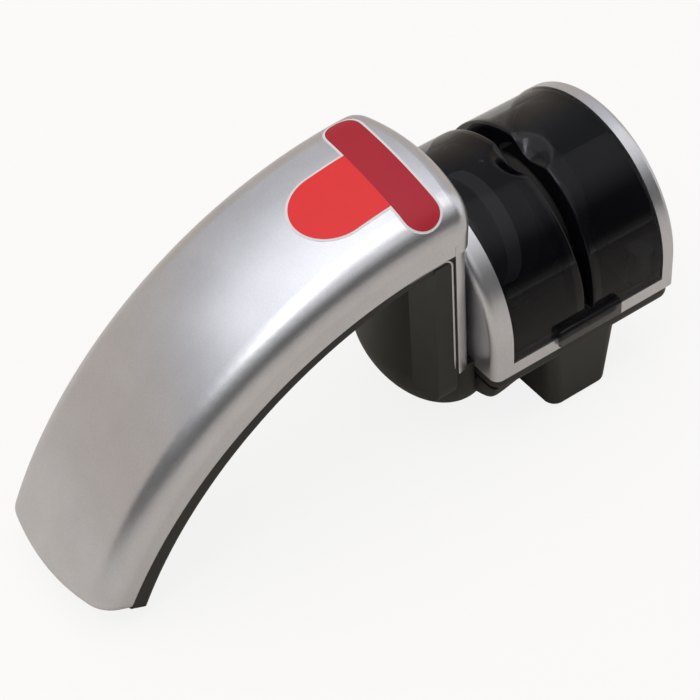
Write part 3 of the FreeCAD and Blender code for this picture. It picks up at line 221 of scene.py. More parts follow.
class Wire:
    """A node's output that takes part in sums."""

    def __init__(self, tree, socket):
        self.tree = tree
        self.socket = socket

    def maths(self, operation, first, second=0.0):
        node = self.tree.nodes.new("ShaderNodeMath")
        node.operation = operation
        for slot, value in zip(node.inputs, (first, second)):
            feed(self.tree, slot, value)
        return Wire(self.tree, node.outputs[0])

    def beside(self, name):
        """Another output of the same node."""
        return Wire(self.tree, self.socket.node.outputs[name])

    def __add__(self, other):
        return self.maths("ADD", self, other)

    def __sub__(self, other):
        return self.maths("SUBTRACT", self, other)

    def __rsub__(self, other):
        return self.maths("SUBTRACT", other, self)

    def __mul__(self, other):
        return self.maths("MULTIPLY", self, other)

    __radd__ = __add__
    __rmul__ = __mul__


def feed(tree, slot, value):
    """Links a wire or a list of wires to a node's input, or sets the input to a plain value."""
    if isinstance(value, Wire):
        tree.links.new(value.socket, slot)
    elif isinstance(value, list):
        for part in value:
            feed(tree, slot, part)
    elif slot.type == "RGBA" and len(value) == 3:
        slot.default_value = (*value, 1.0)
    else:
        slot.default_value = value


class Recipe:
    """A node tree that is built node by node."""
    prefix = "ShaderNode"

    def __init__(self, tree):
        self.tree = tree
        self.tree.nodes.clear()

    def node(self, kind, settings=None, values=None, output=0):
        """Adds a node of a type, sets its settings first and then its inputs, and gives one output."""
        node = self.tree.nodes.new(kind if kind[:4] in ("Node", "Func", "Shad") else self.prefix + kind)
        for name, value in (settings or {}).items():
            setattr(node, name, value)
        for name, value in (values or {}).items():
            feed(self.tree, node.inputs[name], value)
        return Wire(self.tree, node.outputs[output]) if len(node.outputs) else None

    def mix(self, factor, first, second):
        """A colour between two colours."""
        return self.node("Mix", {"data_type": "RGBA"}, {0: factor, 6: first, 7: second}, output=2)

    def ramp(self, value, start, end):
        """Rises smoothly from 0 to 1 while a value goes from start to end."""
        return self.node("MapRange", {"interpolation_type": "SMOOTHSTEP"},
                         {"Value": value, "From Min": start, "From Max": end}, output="Result")


class Finish(Recipe):
    """A material with one Principled shader, patterned in the object's own coordinates."""

    def __init__(self, name):
        self.material = bpy.data.materials.new(name)
        self.material.use_nodes = True
        super().__init__(self.material.node_tree)
        self.point = self.node("TexCoord", output="Object")

    def noise(self, size, detail=3.0):
        """Noise whose grain is about a size in metres."""
        return self.node("TexNoise", values={"Vector": self.point, "Scale": 1 / size, "Detail": detail},
                         output="Fac")

    def tint(self, pattern, tone, low, high):
        """A tone that a pattern varies between two shares of itself."""
        return self.mix(pattern, scaled(tone, low), scaled(tone, high))

    def bump(self, height, distance, strength=1.0):
        return self.node("Bump", values={"Height": height, "Distance": distance, "Strength": strength},
                         output="Normal")

    def shade(self, **sockets):
        values = {name.replace("_", " "): value for name, value in sockets.items()}
        shader = self.node("BsdfPrincipled", values=values)
        self.node("OutputMaterial", values={"Surface": shader})
        return self.material


def scaled(base, factor):
    return tuple(min(channel * factor, 1.0) for channel in base)


def silver_paint(look):
    """Aluminium-flake paint: fine sparkle, and a little unevenness of the spray."""
    finish = Finish("silver_paint")
    flakes = finish.noise(0.34 * MM, 2.0)
    spray = finish.noise(9 * MM, 2.0)
    shade = flakes * 0.6 + spray * 0.4
    tone = finish.tint(shade, look.silver, 0.8, 1.2)
    return finish.shade(
        Base_Color=tone, Metallic=0.9, Roughness=0.25 + 0.08 * flakes + 0.03 * spray,
        Normal=finish.bump(flakes, 0.008 * MM, 0.6))


def black_plastic(look):
    """Moulded plastic with the fine texture of an eroded mould."""
    finish = Finish("black_plastic")
    grain = finish.noise(0.3 * MM, 3.0)
    wear = finish.noise(6 * MM, 3.0)
    tone = finish.tint(wear, look.black, 0.8, 1.25)
    return finish.shade(Base_Color=tone, Roughness=0.36 + 0.12 * wear, Specular_IOR_Level=0.3,
                        Normal=finish.bump(grain, 0.012 * MM, 0.6))


def smoked_plastic(look, cover):
    """Dark tinted clear plastic, polished, with faint wipe marks; the lips of the slot hide more."""
    finish = Finish("smoked_plastic")
    reach = cover.slot_half + cover.lip_wall
    across = finish.node("SeparateXYZ", values={"Vector": finish.point}, output="X")
    aside = across - cover.slot_x
    beyond = finish.ramp(aside.maths("ABSOLUTE", aside), reach, reach + 0.5 * MM)
    above = finish.ramp(across.beside("Z"), cover.slot_front - 0.3 * MM, cover.slot_front + 0.6 * MM)
    lips = above * (1 - beyond)
    wipe = finish.noise(14 * MM, 4.0)
    haze = finish.noise(1.2 * MM, 4.0)
    return finish.shade(
        Base_Color=finish.tint(wipe, look.smoke, 0.8, 1.3), Roughness=0.05 + 0.04 * wipe * haze,
        Alpha=look.smoke_density + (look.lip_density - look.smoke_density) * lips, IOR=1.49,
        Specular_IOR_Level=0.27)


def core_plastic(name, tone):
    """Satin plastic of a wheel's core, slightly clouded."""
    finish = Finish(name)
    cloud = finish.noise(3 * MM, 3.0)
    grain = finish.noise(0.25 * MM)
    return finish.shade(Base_Color=finish.tint(cloud, tone, 0.92, 1.06),
                        Roughness=0.42 + 0.1 * cloud, Normal=finish.bump(grain, 0.006 * MM, 0.5))


def abrasive_grit(look):
    """Sintered grit: sharp grains of several tones."""
    finish = Finish("abrasive_grit")
    cells = finish.node("TexVoronoi", values={"Vector": finish.point, "Scale": 1 / (0.28 * MM)},
                        output="Distance")
    tone = finish.noise(0.35 * MM, 2.0)
    return finish.shade(Base_Color=finish.tint(tone, look.abrasive, 0.5, 1.5),
                        Roughness=0.78 + 0.15 * tone, Normal=finish.bump(1 - cells, 0.06 * MM, 0.8))


def frame_plastic(look):
    """Matt plastic with a fine grain."""
    finish = Finish("frame_plastic")
    grain = finish.noise(0.35 * MM)
    cloud = finish.noise(5 * MM)
    return finish.shade(Base_Color=finish.tint(cloud, look.frame, 0.85, 1.15),
                        Roughness=0.5 + 0.1 * grain, Normal=finish.bump(grain, 0.01 * MM, 0.6))


def turned_metal(name, tone, roughness):
    """Bright metal with the fine grain of a machined face."""
    finish = Finish(name)
    grain = finish.noise(0.12 * MM, 2.0)
    cloud = finish.noise(2.5 * MM, 3.0)
    return finish.shade(Base_Color=finish.tint(cloud, tone, 0.85, 1.15), Metallic=1.0,
                        Roughness=roughness + 0.12 * grain, Normal=finish.bump(grain, 0.003 * MM, 0.5))


def soft_rubber(look):
    """Dull rubber with a little dust."""
    finish = Finish("soft_rubber")
    grain = finish.noise(0.2 * MM)
    dust = finish.noise(2 * MM)
    return finish.shade(Base_Color=finish.tint(dust, look.rubber, 1.0, 2.2),
                        Roughness=0.75 + 0.15 * dust, Normal=finish.bump(grain, 0.02 * MM, 0.6))


def printed_film(name, tone):
    """Printed label film, with the faint mottle of its ink and a satin coat."""
    finish = Finish(name)
    ink = finish.noise(0.5 * MM, 3.0)
    cloud = finish.noise(6 * MM, 2.0)
    return finish.shade(
        Base_Color=finish.tint(ink * 0.5 + cloud * 0.5, tone, 0.93, 1.07),
        Roughness=0.34 + 0.08 * cloud, Specular_IOR_Level=0.16, Normal=finish.bump(ink, 0.004 * MM, 0.4))


MADE = {}


def finishes(context):
    """The material of each slot of the record and of the label, made once."""
    look = context.scene.sharpener_finishes
    makers = {
        "silver_shell": lambda: silver_paint(look),
        "black_body": lambda: black_plastic(look),
        "smoked_cover": lambda: smoked_plastic(look, context.scene.sharpener_cover),
        "light_core": lambda: core_plastic("light_core", look.core),
        # The far wheel's core: the light core plastic in a darker tone, as painted shade.
        "far_core": lambda: core_plastic("far_core", look.far_core),
        "abrasive": lambda: abrasive_grit(look),
        "grey_frame": lambda: frame_plastic(look),
        "steel": lambda: turned_metal("turned_steel", look.steel, 0.24),
        "bearing_bronze": lambda: turned_metal("bearing_bronze", look.bronze, 0.36),
        "rubber_pad": lambda: soft_rubber(look),
        "label_bar": lambda: printed_film("label_bar", look.label_bar),
        "label_tongue": lambda: printed_film("label_tongue", look.label_tongue),
        "label_line": lambda: printed_film("label_line", look.label_line),
    }
    for slot, maker in makers.items():
        if slot not in MADE:
            MADE[slot] = maker()
    return MADE


def smooth_step(value):
    value = min(max(value, 0.0), 1.0)
    return value * value * (3 - 2 * value)


def settle(bm):
    """Welds a mesh that was drawn face by face and turns its faces outwards."""
    bmesh.ops.remove_doubles(bm, verts=bm.verts, dist=0.001 * MM)
    bmesh.ops.dissolve_degenerate(bm, edges=bm.edges, dist=0.0005 * MM)
    bmesh.ops.recalc_face_normals(bm, faces=bm.faces)


def object_from(context, name, bm, *materials):
    mesh = bpy.data.meshes.new(name)
    bm.to_mesh(mesh)
    bm.free()
    for material in materials:
        mesh.materials.append(material)
    piece = bpy.data.objects.new(name, mesh)
    context.scene.collection.objects.link(piece)
    return piece


def plain(context, piece):
    """Turns a piece with modifiers into a plain mesh."""
    graph = context.evaluated_depsgraph_get()
    mesh = bpy.data.meshes.new_from_object(piece.evaluated_get(graph))
    piece.modifiers.clear()
    old, piece.data = piece.data, mesh
    bpy.data.meshes.remove(old)
    return piece


def soften(piece, degrees=32):
    """Smooth shading, with a crease where two faces meet at more than an angle."""
    piece.data.shade_smooth()
    piece.data.set_sharp_from_angle(angle=math.radians(degrees))


def joined(context, piece, tools):
    """Adds or takes away solids in turn; tools gives pairs of object and operation."""
    for tool, operation in tools:
        modifier = piece.modifiers.new(operation, "BOOLEAN")
        modifier.operation = operation
        modifier.solver = "EXACT"
        modifier.object = tool
    plain(context, piece)
    for tool, _ in tools:
        mesh = tool.data
        bpy.data.objects.remove(tool)
        bpy.data.meshes.remove(mesh)


def bridge(bm, rows, closed=True):
    """Faces between neighbouring rows of points; closed rows are rings, and the end ones get caps."""
    for first, second in zip(rows, rows[1:]):
        for i in range(len(first) if closed else len(first) - 1):
            j = (i + 1) % len(first)
            bm.faces.new((first[i], first[j], second[j], second[i]))
    if closed:
        for ring in (rows[0], rows[-1]):
            bm.faces.new(ring)


def bar_between(bm, outline, x0, x1):
    """A closed bar: an outline of Y and Z carried along X."""
    bridge(bm, [[bm.verts.new((x, y, z)) for y, z in outline] for x in (x0, x1)])
    bmesh.ops.recalc_face_normals(bm, faces=bm.faces)


def arc_points(y, z, radius, first, last, count):
    """Points of an arc in a plane, from one angle to another in degrees."""
    turns = [math.radians(first + (last - first) * i / count) for i in range(count + 1)]
    return [(y + radius * math.cos(t), z + radius * math.sin(t)) for t in turns]


class Arch:
    """The handle's shell: places on its surface by distance along the arch and round the crown."""

    def __init__(self, handle):
        self.h = handle

    def crown_at(self, turn):
        h = self.h
        part = (turn - h.start) / (h.end - h.start)
        part -= h.bulge * part * (1 - part)
        return h.crown + (h.tip_crown - h.crown) * part

    def half_width_at(self, turn):
        h = self.h
        return h.half_width + (h.tip_half_width - h.half_width) * (turn - h.start) / (h.end - h.start)

    def place(self, turn, y, height):
        h = self.h
        reach = h.edge_radius + height
        rise = h.apex_z - h.edge_radius + reach * math.cos(turn)
        return Vector((h.apex_x - reach * math.sin(turn), y, rise))

    def on_shell(self, along, across, lift):
        """A point lifted off the surface; along runs down the arch and across runs round the crown."""
        h = self.h
        turn = along / (h.edge_radius + h.crown)
        top = self.crown_at(turn)
        corner = top * h.corner
        edge = self.half_width_at(turn) - corner
        blend = math.asin(edge / (h.crown_radius - corner))
        side = math.copysign(1, across)
        bend = abs(across) / h.crown_radius
        if bend <= blend:
            reach = h.crown_radius + lift
            rise = top - h.crown_radius + reach * math.cos(bend)
            return self.place(turn, side * reach * math.sin(bend), rise)
        past = blend + (abs(across) - blend * h.crown_radius) / corner
        base = top - h.crown_radius + (h.crown_radius - corner) * math.cos(blend)
        reach = corner + lift
        return self.place(turn, side * (edge + reach * math.sin(past)), base + reach * math.cos(past))


class SHARPENER_OT_finish_solids(bpy.types.Operator):
    """Gives every solid the finish of its material slot; the right wheel's core gets that light plastic
    darkened as painted shade
    """
    bl_idname = "sharpener.finish_solids"
    bl_label = "Finish the solids"

    def execute(self, context):
        made = finishes(context)
        for row in frame["record"]["subparts"]:
            node = frame["nodes"][row["node"]]
            node.data.materials.clear()
            # The right wheel's core gets the darkened copy of the light core plastic: painted shade.
            finish = "far_core" if row["node"] == "right_wheel_core" else row["material_slot"]
            node.data.materials.append(made[finish])
        return {"FINISHED"}


class SHARPENER_OT_dust_cover(bpy.types.Operator):
    """Builds the smoked cover with its blade slot, dished mouth, finger tab and knuckle"""
    bl_idname = "sharpener.dust_cover"
    bl_label = "Dust cover"

    def execute(self, context):
        self.c = context.scene.sharpener_cover
        low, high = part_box("dust_cover")
        bm = bmesh.new()
        stations = self.stations()
        for side, reach in ((-1, self.c.slot_x - low[0]), (1, high[0] - self.c.slot_x)):
            self.half(bm, side, reach, stations)
        settle(bm)
        middle, near = self.c.slot_x, 0.002 * MM
        inside = [f for f in bm.faces if all(abs(v.co.x - middle) < near for v in f.verts)]
        bmesh.ops.delete(bm, geom=inside, context="FACES")
        settle(bm)
        piece = object_from(context, "smoked_cover", bm, finishes(context)["smoked_cover"])
        joined(context, piece, ((self.tab(context), "UNION"), (self.ear_room(context), "DIFFERENCE"),
                                (self.knuckle(context), "UNION"), (self.bore(context), "DIFFERENCE")))
        soften(piece)
        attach(piece, "cover")
        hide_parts("dust_cover")
        return {"FINISHED"}

    def path_length(self):
        return 2 * (self.c.axis_z - self.c.bottom) + math.pi * self.c.radius

    def place(self, x, along, depth):
        """A point of the cover: along runs from the front edge over the top, depth goes inwards."""
        c = self.c
        leg = c.axis_z - c.bottom
        reach = c.radius - depth
        if along <= leg:
            return x, -reach, c.bottom + along
        if along >= leg + math.pi * c.radius:
            return x, reach, c.axis_z - (along - leg - math.pi * c.radius)
        turn = (along - leg) / c.radius
        return x, -reach * math.cos(turn), c.axis_z + reach * math.sin(turn)

    def slot_ends(self):
        c = self.c
        rear = math.pi - math.asin((c.slot_rear - c.axis_z) / c.radius)
        return c.slot_front - c.bottom, c.axis_z - c.bottom + rear * c.radius

    def stations(self):
        """Where the sections stand: even steps, and closer ones at the rounded ends of the slot."""
        step, dish_step = 0.7 * MM, 0.25 * MM
        # An even station that is nearer than this to a closer one is left out.
        beside_dish, before_end, past_end = 0.15 * MM, 0.1 * MM, 0.2 * MM
        total = self.path_length()
        front, rear = self.slot_ends()
        count = round(total / step)
        places = {i * total / count for i in range(count + 1)}
        dish = self.dish_centre()
        fine = round(2 * self.c.dish_radius / dish_step)
        places = {p for p in places if abs(p - dish) > self.c.dish_radius + beside_dish}
        places |= {dish + self.c.dish_radius * (2 * i / fine - 1) for i in range(fine + 1)}
        for end, way, reach in ((front, 1, self.c.slot_tail), (rear, -1, self.c.slot_half)):
            places = {p for p in places if not -before_end < (p - end) * way < reach + past_end}
            places |= {end + way * reach * (1 - math.cos(math.radians(t))) for t in range(0, 91, 10)}
        return sorted(places)

    def slot_at(self, along):
        """Half width of the slot at a station, and how fully its lips stand there."""
        c = self.c
        taper, run_out = 30 * MM, 2.5 * MM
        front, rear = self.slot_ends()
        if not front < along < rear:
            return 0.0, 0.0
        half = c.slot_tail + (c.slot_half - c.slot_tail) * smooth_step((along - front) / taper)
        for distance, reach in ((along - front, c.slot_tail), (rear - along, c.slot_half)):
            if distance < reach:
                half = min(half, math.sqrt(max(reach ** 2 - (reach - distance) ** 2, 0)))
        return half, smooth_step(min(along - front, rear - along) / run_out)

    def dish_centre(self):
        c = self.c
        return c.axis_z - c.bottom + (math.pi / 2 - c.dish_lean) * c.radius

    def dish_at(self, x, along):
        """Depth of the dished mouth at a distance from the slot's middle."""
        c = self.c
        distance = math.hypot(x, along - self.dish_centre())
        part = min(max((c.dish_radius - distance) / (c.dish_radius - c.dish_floor), 0), 1)
        return c.dish_depth * (0.75 * part + 0.25 * smooth_step(part))

    def half(self, bm, side, reach, stations):
        """One side of the slot: closed sections carried from the front edge to the rear edge."""
        rings = [[bm.verts.new(self.place(self.c.slot_x + side * x, along, depth))
                  for x, depth in self.section(along, reach)] for along in stations]
        bridge(bm, rings)

    def section(self, along, reach):
        """Distances from the slot's middle, and depths: outer face, slot wall, lip and inner face."""
        c = self.c
        columns, crowding, rim, rear_turn = 34, 1.25, 0.25 * MM, math.radians(60)
        half, fade = self.slot_at(along)
        edge = c.edge * fade
        start = half + edge
        spread = [(i / columns) ** crowding for i in range(columns + 1)]
        outer = [(x, self.dish_at(x, along)) for x in (start + (reach - rim - start) * t for t in spread)]
        points = [(reach, c.wall), (reach, rim), (reach - rim * 0.3, rim * 0.3)] + outer[::-1]
        lip_top = outer[0][1]
        for t in (22.5, 45, 67.5, 90):
            turn = math.radians(t)
            points.append((start - edge * math.sin(turn), lip_top + edge * (1 - math.cos(turn))))
        behind = (along - c.axis_z + c.bottom) / c.radius - math.pi / 2
        lip = c.lip_depth + c.lip_rear * smooth_step(behind / rear_turn)
        foot = max(c.wall + (lip - c.wall) * fade, (lip_top + c.wall) * min(fade * 4, 1))
        wall_top = points[-1][1]
        points += [(half, wall_top + (foot - wall_top) * t) for t in (0.35, 0.7, 1.0)]
        back = half + c.lip_wall * fade
        points.append((back, foot))
        for t in spread:
            x = back + (reach - back) * t
            points.append((x, max(c.wall, self.dish_at(x, along) + c.lip_wall)))
        return points[:-1]

    def tab(self, context):
        """The finger tab: a hooked bar with rounded ends on the front edge."""
        c = self.c
        r, thickness, end_radius = 0.9 * MM, 1.3 * MM, 0.6 * MM
        back, seat = -c.tab_out + thickness, -c.radius + c.wall / 2
        outline = [(back, c.tab_low), (back, c.bottom), (seat, c.bottom), (seat, c.tab_high)]
        outline += arc_points(-c.tab_out + r, c.tab_high - r, r, 90, 180, 6)
        outline += arc_points(-c.tab_out + r, c.tab_low + r, r, 180, 270, 6)
        bm = bmesh.new()
        bar_between(bm, outline, c.tab_x - c.tab_half, c.tab_x + c.tab_half)
        tab = object_from(context, "tab", bm)
        bevel = tab.modifiers.new("round_ends", "BEVEL")
        bevel.width = end_radius
        bevel.segments = 4
        bevel.limit_method = "ANGLE"
        bevel.angle_limit = math.radians(60)
        return plain(context, tab)

    def ear_room(self, context):
        """What is cut from the rear edge, so that the drum's ears have room beside the knuckle."""
        c = self.c
        gap, past = 0.25 * MM, 6 * MM
        low, top, far = c.bottom - past, c.hinge_z + c.knuckle + gap, c.radius + past
        bm = bmesh.new()
        bar_between(bm, [(0, low), (far, low), (far, top), (0, top)],
                    c.slot_x - c.ear_room, c.slot_x + c.ear_room)
        return object_from(context, "ear_room", bm)

    def knuckle(self, context):
        """The knuckle round the hinge axis, with its root in the cover's wall."""
        c = self.c
        root = 0.5 * MM
        top = c.hinge_z + c.knuckle + root
        outline = arc_points(c.hinge_y, c.hinge_z, c.knuckle, -180, 90, 36)
        outline += [(c.radius, top), (c.radius - c.wall, top)]
        bm = bmesh.new()
        bar_between(bm, outline, c.slot_x - c.knuckle_half, c.slot_x + c.knuckle_half)
        return object_from(context, "knuckle", bm)

    def bore(self, context):
        """The pin's bore, longer than the knuckle at both ends."""
        c = self.c
        past = 1 * MM
        reach = c.knuckle_half + past
        outline = arc_points(c.hinge_y, c.hinge_z, c.pin_bore, 0, 345, 23)
        bm = bmesh.new()
        bar_between(bm, outline, c.slot_x - reach, c.slot_x + reach)
        return object_from(context, "bore", bm)


class SHARPENER_OT_label(bpy.types.Operator):
    """Lays the plain two-tone label on the handle's crown"""
    bl_idname = "sharpener.label"
    bl_label = "Label"

    def execute(self, context):
        label = context.scene.sharpener_label
        arch = Arch(context.scene.sharpener_handle)
        made = finishes(context)
        bm = bmesh.new()
        # Each layer stands a little above the one that it overlaps.
        film = label.thickness
        for slot, outline, lift in (
                (0, self.tongue(label, label.outline), film), (0, self.bar(label, label.outline), film * 1.3),
                (1, self.tongue(label, 0.0), film * 1.8), (2, self.bar(label, 0.0), film * 2.4)):
            self.patch(bm, arch, outline, lift, slot)
        bmesh.ops.recalc_face_normals(bm, faces=bm.faces)
        piece = object_from(context, "label", bm, made["label_line"], made["label_tongue"], made["label_bar"])
        soften(piece)
        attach(piece, "body")
        return {"FINISHED"}

    def bar(self, label, grow):
        """Outline of the bar: two straight sides and round ends."""
        far = Vector((label.bar_far_along, label.bar_far))
        near = Vector((label.bar_near_along, label.bar_near))
        line = (near - far).normalized()
        across = Vector((line.y, -line.x))
        half = label.bar_width / 2 + grow
        r = label.bar_width / 2
        points, steps = [], 24
        for centre, first in ((far + line * r, 0), (near - line * r, 180)):
            for i in range(steps + 1):
                t = math.radians(first + 180 * i / steps)
                points.append(centre + half * (math.cos(t) * across - math.sin(t) * line))
        return points

    def tongue(self, label, grow):
        """Outline of the tongue: straight sides from the bar and a round end."""
        root = (label.bar_far_along + label.bar_near_along) / 2
        half = label.tongue_half + grow
        bend = label.tongue_end - label.tongue_half
        points, steps = [Vector((root, label.tongue_middle + half))], 40
        for i in range(steps + 1):
            t = math.radians(90 - 180 * i / steps)
            points.append(Vector((bend + half * math.cos(t), label.tongue_middle + half * math.sin(t))))
        return points + [Vector((root, label.tongue_middle - half))]

    def closer(self, outline):
        """The outline with points added along its long sides."""
        points, spacing = [], 0.8 * MM
        for first, second in zip(outline, outline[1:] + outline[:1]):
            count = max(1, round((second - first).length / spacing))
            points += [first.lerp(second, i / count) for i in range(count)]
        return points

    def patch(self, bm, arch, outline, lift, slot):
        """A closed film over an outline: rings from its middle to its rim, above and below."""
        outline = self.closer(outline)
        centre = sum(outline, Vector((0, 0))) / len(outline)
        steps, sunk = 14, 0.1 * MM
        sheets = []
        for height in (lift, -sunk):
            rings = [[bm.verts.new(arch.on_shell(*(centre + (p - centre) * (i / steps)), height))
                      for p in outline] for i in range(1, steps + 1)]
            middle = bm.verts.new(arch.on_shell(*centre, height))
            sheets.append((middle, rings))
        faces = []
        count = len(outline)
        for middle, rings in sheets:
            for i in range(count):
                j = (i + 1) % count
                faces.append(bm.faces.new((middle, rings[0][i], rings[0][j])))
                faces += [bm.faces.new((a[i], b[i], b[j], a[j])) for a, b in zip(rings, rings[1:])]
        top, under = sheets[0][1][-1], sheets[1][1][-1]
        for i in range(count):
            j = (i + 1) % count
            faces.append(bm.faces.new((top[i], under[i], under[j], top[j])))
        for face in faces:
            face.material_index = slot


class SHARPENER_OT_shell_lip(bpy.types.Operator):
    """Lays the fine lip inside the silver edge, round the corner and down the leg on each side"""
    bl_idname = "sharpener.shell_lip"
    bl_label = "Shell lip"

    def execute(self, context):
        handle = context.scene.sharpener_handle
        lip = context.scene.sharpener_lip
        arch = Arch(handle)
        line = handle.leg_inner - lip.inset
        start = handle.apex_z - lip.inset - lip.bend
        steps = 20
        path = [(p.x, p.z) for p in (arch.place(math.radians(t), 0, -lip.inset) for t in range(8, 3, -1))]
        path += arc_points(line - lip.bend, start, lip.bend, 86, 0, 10)
        path += [(line, start - lip.drop * i / steps) for i in range(1, steps + 1)]
        bm = bmesh.new()
        for side in (-1, 1):
            self.lip(bm, path, side * (handle.half_width - lip.inset), lip.radius)
        bmesh.ops.recalc_face_normals(bm, faces=bm.faces)
        piece = object_from(context, "shell_lip", bm, finishes(context)["silver_shell"])
        soften(piece, degrees=60)
        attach(piece, "body")
        return {"FINISHED"}

    def lip(self, bm, path, y, radius):
        """A round bead along a path, thinner towards both ends."""
        sides, rings = 12, []
        out = Vector((0, 1, 0))
        # Share of the full radius at the two ends, and what each point further in adds.
        top, top_growth, foot, foot_growth = 0.15, 0.085, 0.4, 0.3
        for i, (x, z) in enumerate(path):
            ahead, behind = path[min(i + 1, len(path) - 1)], path[max(i - 1, 0)]
            over = Vector((ahead[0] - behind[0], 0, ahead[1] - behind[1])).normalized().cross(out)
            size = radius * min(1.0, top + top_growth * i, foot + foot_growth * (len(path) - 1 - i))
            rings.append([bm.verts.new(Vector((x, y, z)) + size * (math.cos(t) * out + math.sin(t) * over))
                          for t in (math.tau * k / sides for k in range(sides))])
        bridge(bm, rings)


class SHARPENER_OT_heel(bpy.types.Operator):
    """Builds the rounded heel under the tray's end, beside the column"""
    bl_idname = "sharpener.heel"
    bl_label = "Heel"

    def execute(self, context):
        heel = context.scene.sharpener_heel
        low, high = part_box("base_tray")
        columns, rows, set_back = 24, 48, 0.1 * MM
        bm = bmesh.new()
        bottom, top = [], []
        for sheet in (bottom, top):
            for j in range(rows + 1):
                turn = math.pi * (j / rows - 0.5)
                y = heel.half_width * math.sin(turn)
                past = max(abs(y) - (high[1] - heel.corner), 0)
                start = low[0] + heel.corner - math.sqrt(heel.corner ** 2 - past ** 2) + set_back
                reach = low[0] + heel.reach - start
                row = []
                for part in (i / columns for i in range(columns + 1)):
                    drop = self.drop(heel, part, turn) if sheet is bottom else 0
                    row.append(bm.verts.new((start + reach * part, y, heel.top - drop)))
                sheet.append(row)
        for sheet in (bottom, top, [[row[0] for row in bottom], [row[0] for row in top]]):
            bridge(bm, sheet, closed=False)
        settle(bm)
        piece = object_from(context, "heel", bm, finishes(context)["black_body"])
        soften(piece, degrees=40)
        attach(piece, "body")
        return {"FINISHED"}

    def drop(self, heel, part, turn):
        """Depth below the tray at a share of the reach; the nose is rounded over its first stretch."""
        nose, upright, fullness = 0.16, 0.65, 0.8
        edge = math.sqrt(1 - (1 - min(part / nose, 1)) ** 2) * (1 - upright) + upright
        fall = edge * math.cos(part * math.pi / 2) ** 2
        return heel.depth * math.cos(turn) ** fullness * fall


class Layout(Recipe):
    """A Geometry Nodes tree with named inputs."""
    prefix = "GeometryNode"

    def __init__(self, name, inputs):
        tree = bpy.data.node_groups.new(name, "GeometryNodeTree")
        super().__init__(tree)
        tree.interface.new_socket("Geometry", in_out="INPUT", socket_type="NodeSocketGeometry")
        tree.interface.new_socket("Geometry", in_out="OUTPUT", socket_type="NodeSocketGeometry")
        self.sockets = {}
        for title, kind in inputs.items():
            self.sockets[title] = tree.interface.new_socket(title, in_out="INPUT",
                                                            socket_type="NodeSocket" + kind)
        self.start = self.node("NodeGroupInput")

    def given(self, title):
        return self.start.beside(title)

    def spot(self, x=0.0, y=0.0, z=0.0):
        return self.node("ShaderNodeCombineXYZ", values={"X": x, "Y": y, "Z": z})

    def raised(self, geometry, height):
        return self.node("Transform", values={"Geometry": geometry, "Translation": self.spot(z=height)})

    def close(self, geometry, material):
        solid = self.node("RealizeInstances", values={"Geometry": geometry})
        dressed = self.node("SetMaterial", values={"Geometry": solid, "Material": material})
        self.node("NodeGroupOutput", values={"Geometry": dressed})

    def apply(self, context, piece, values):
        modifier = piece.modifiers.new(self.tree.name, "NODES")
        modifier.node_group = self.tree
        for title, value in values.items():
            modifier[self.sockets[title].identifier] = value
        return plain(context, piece)


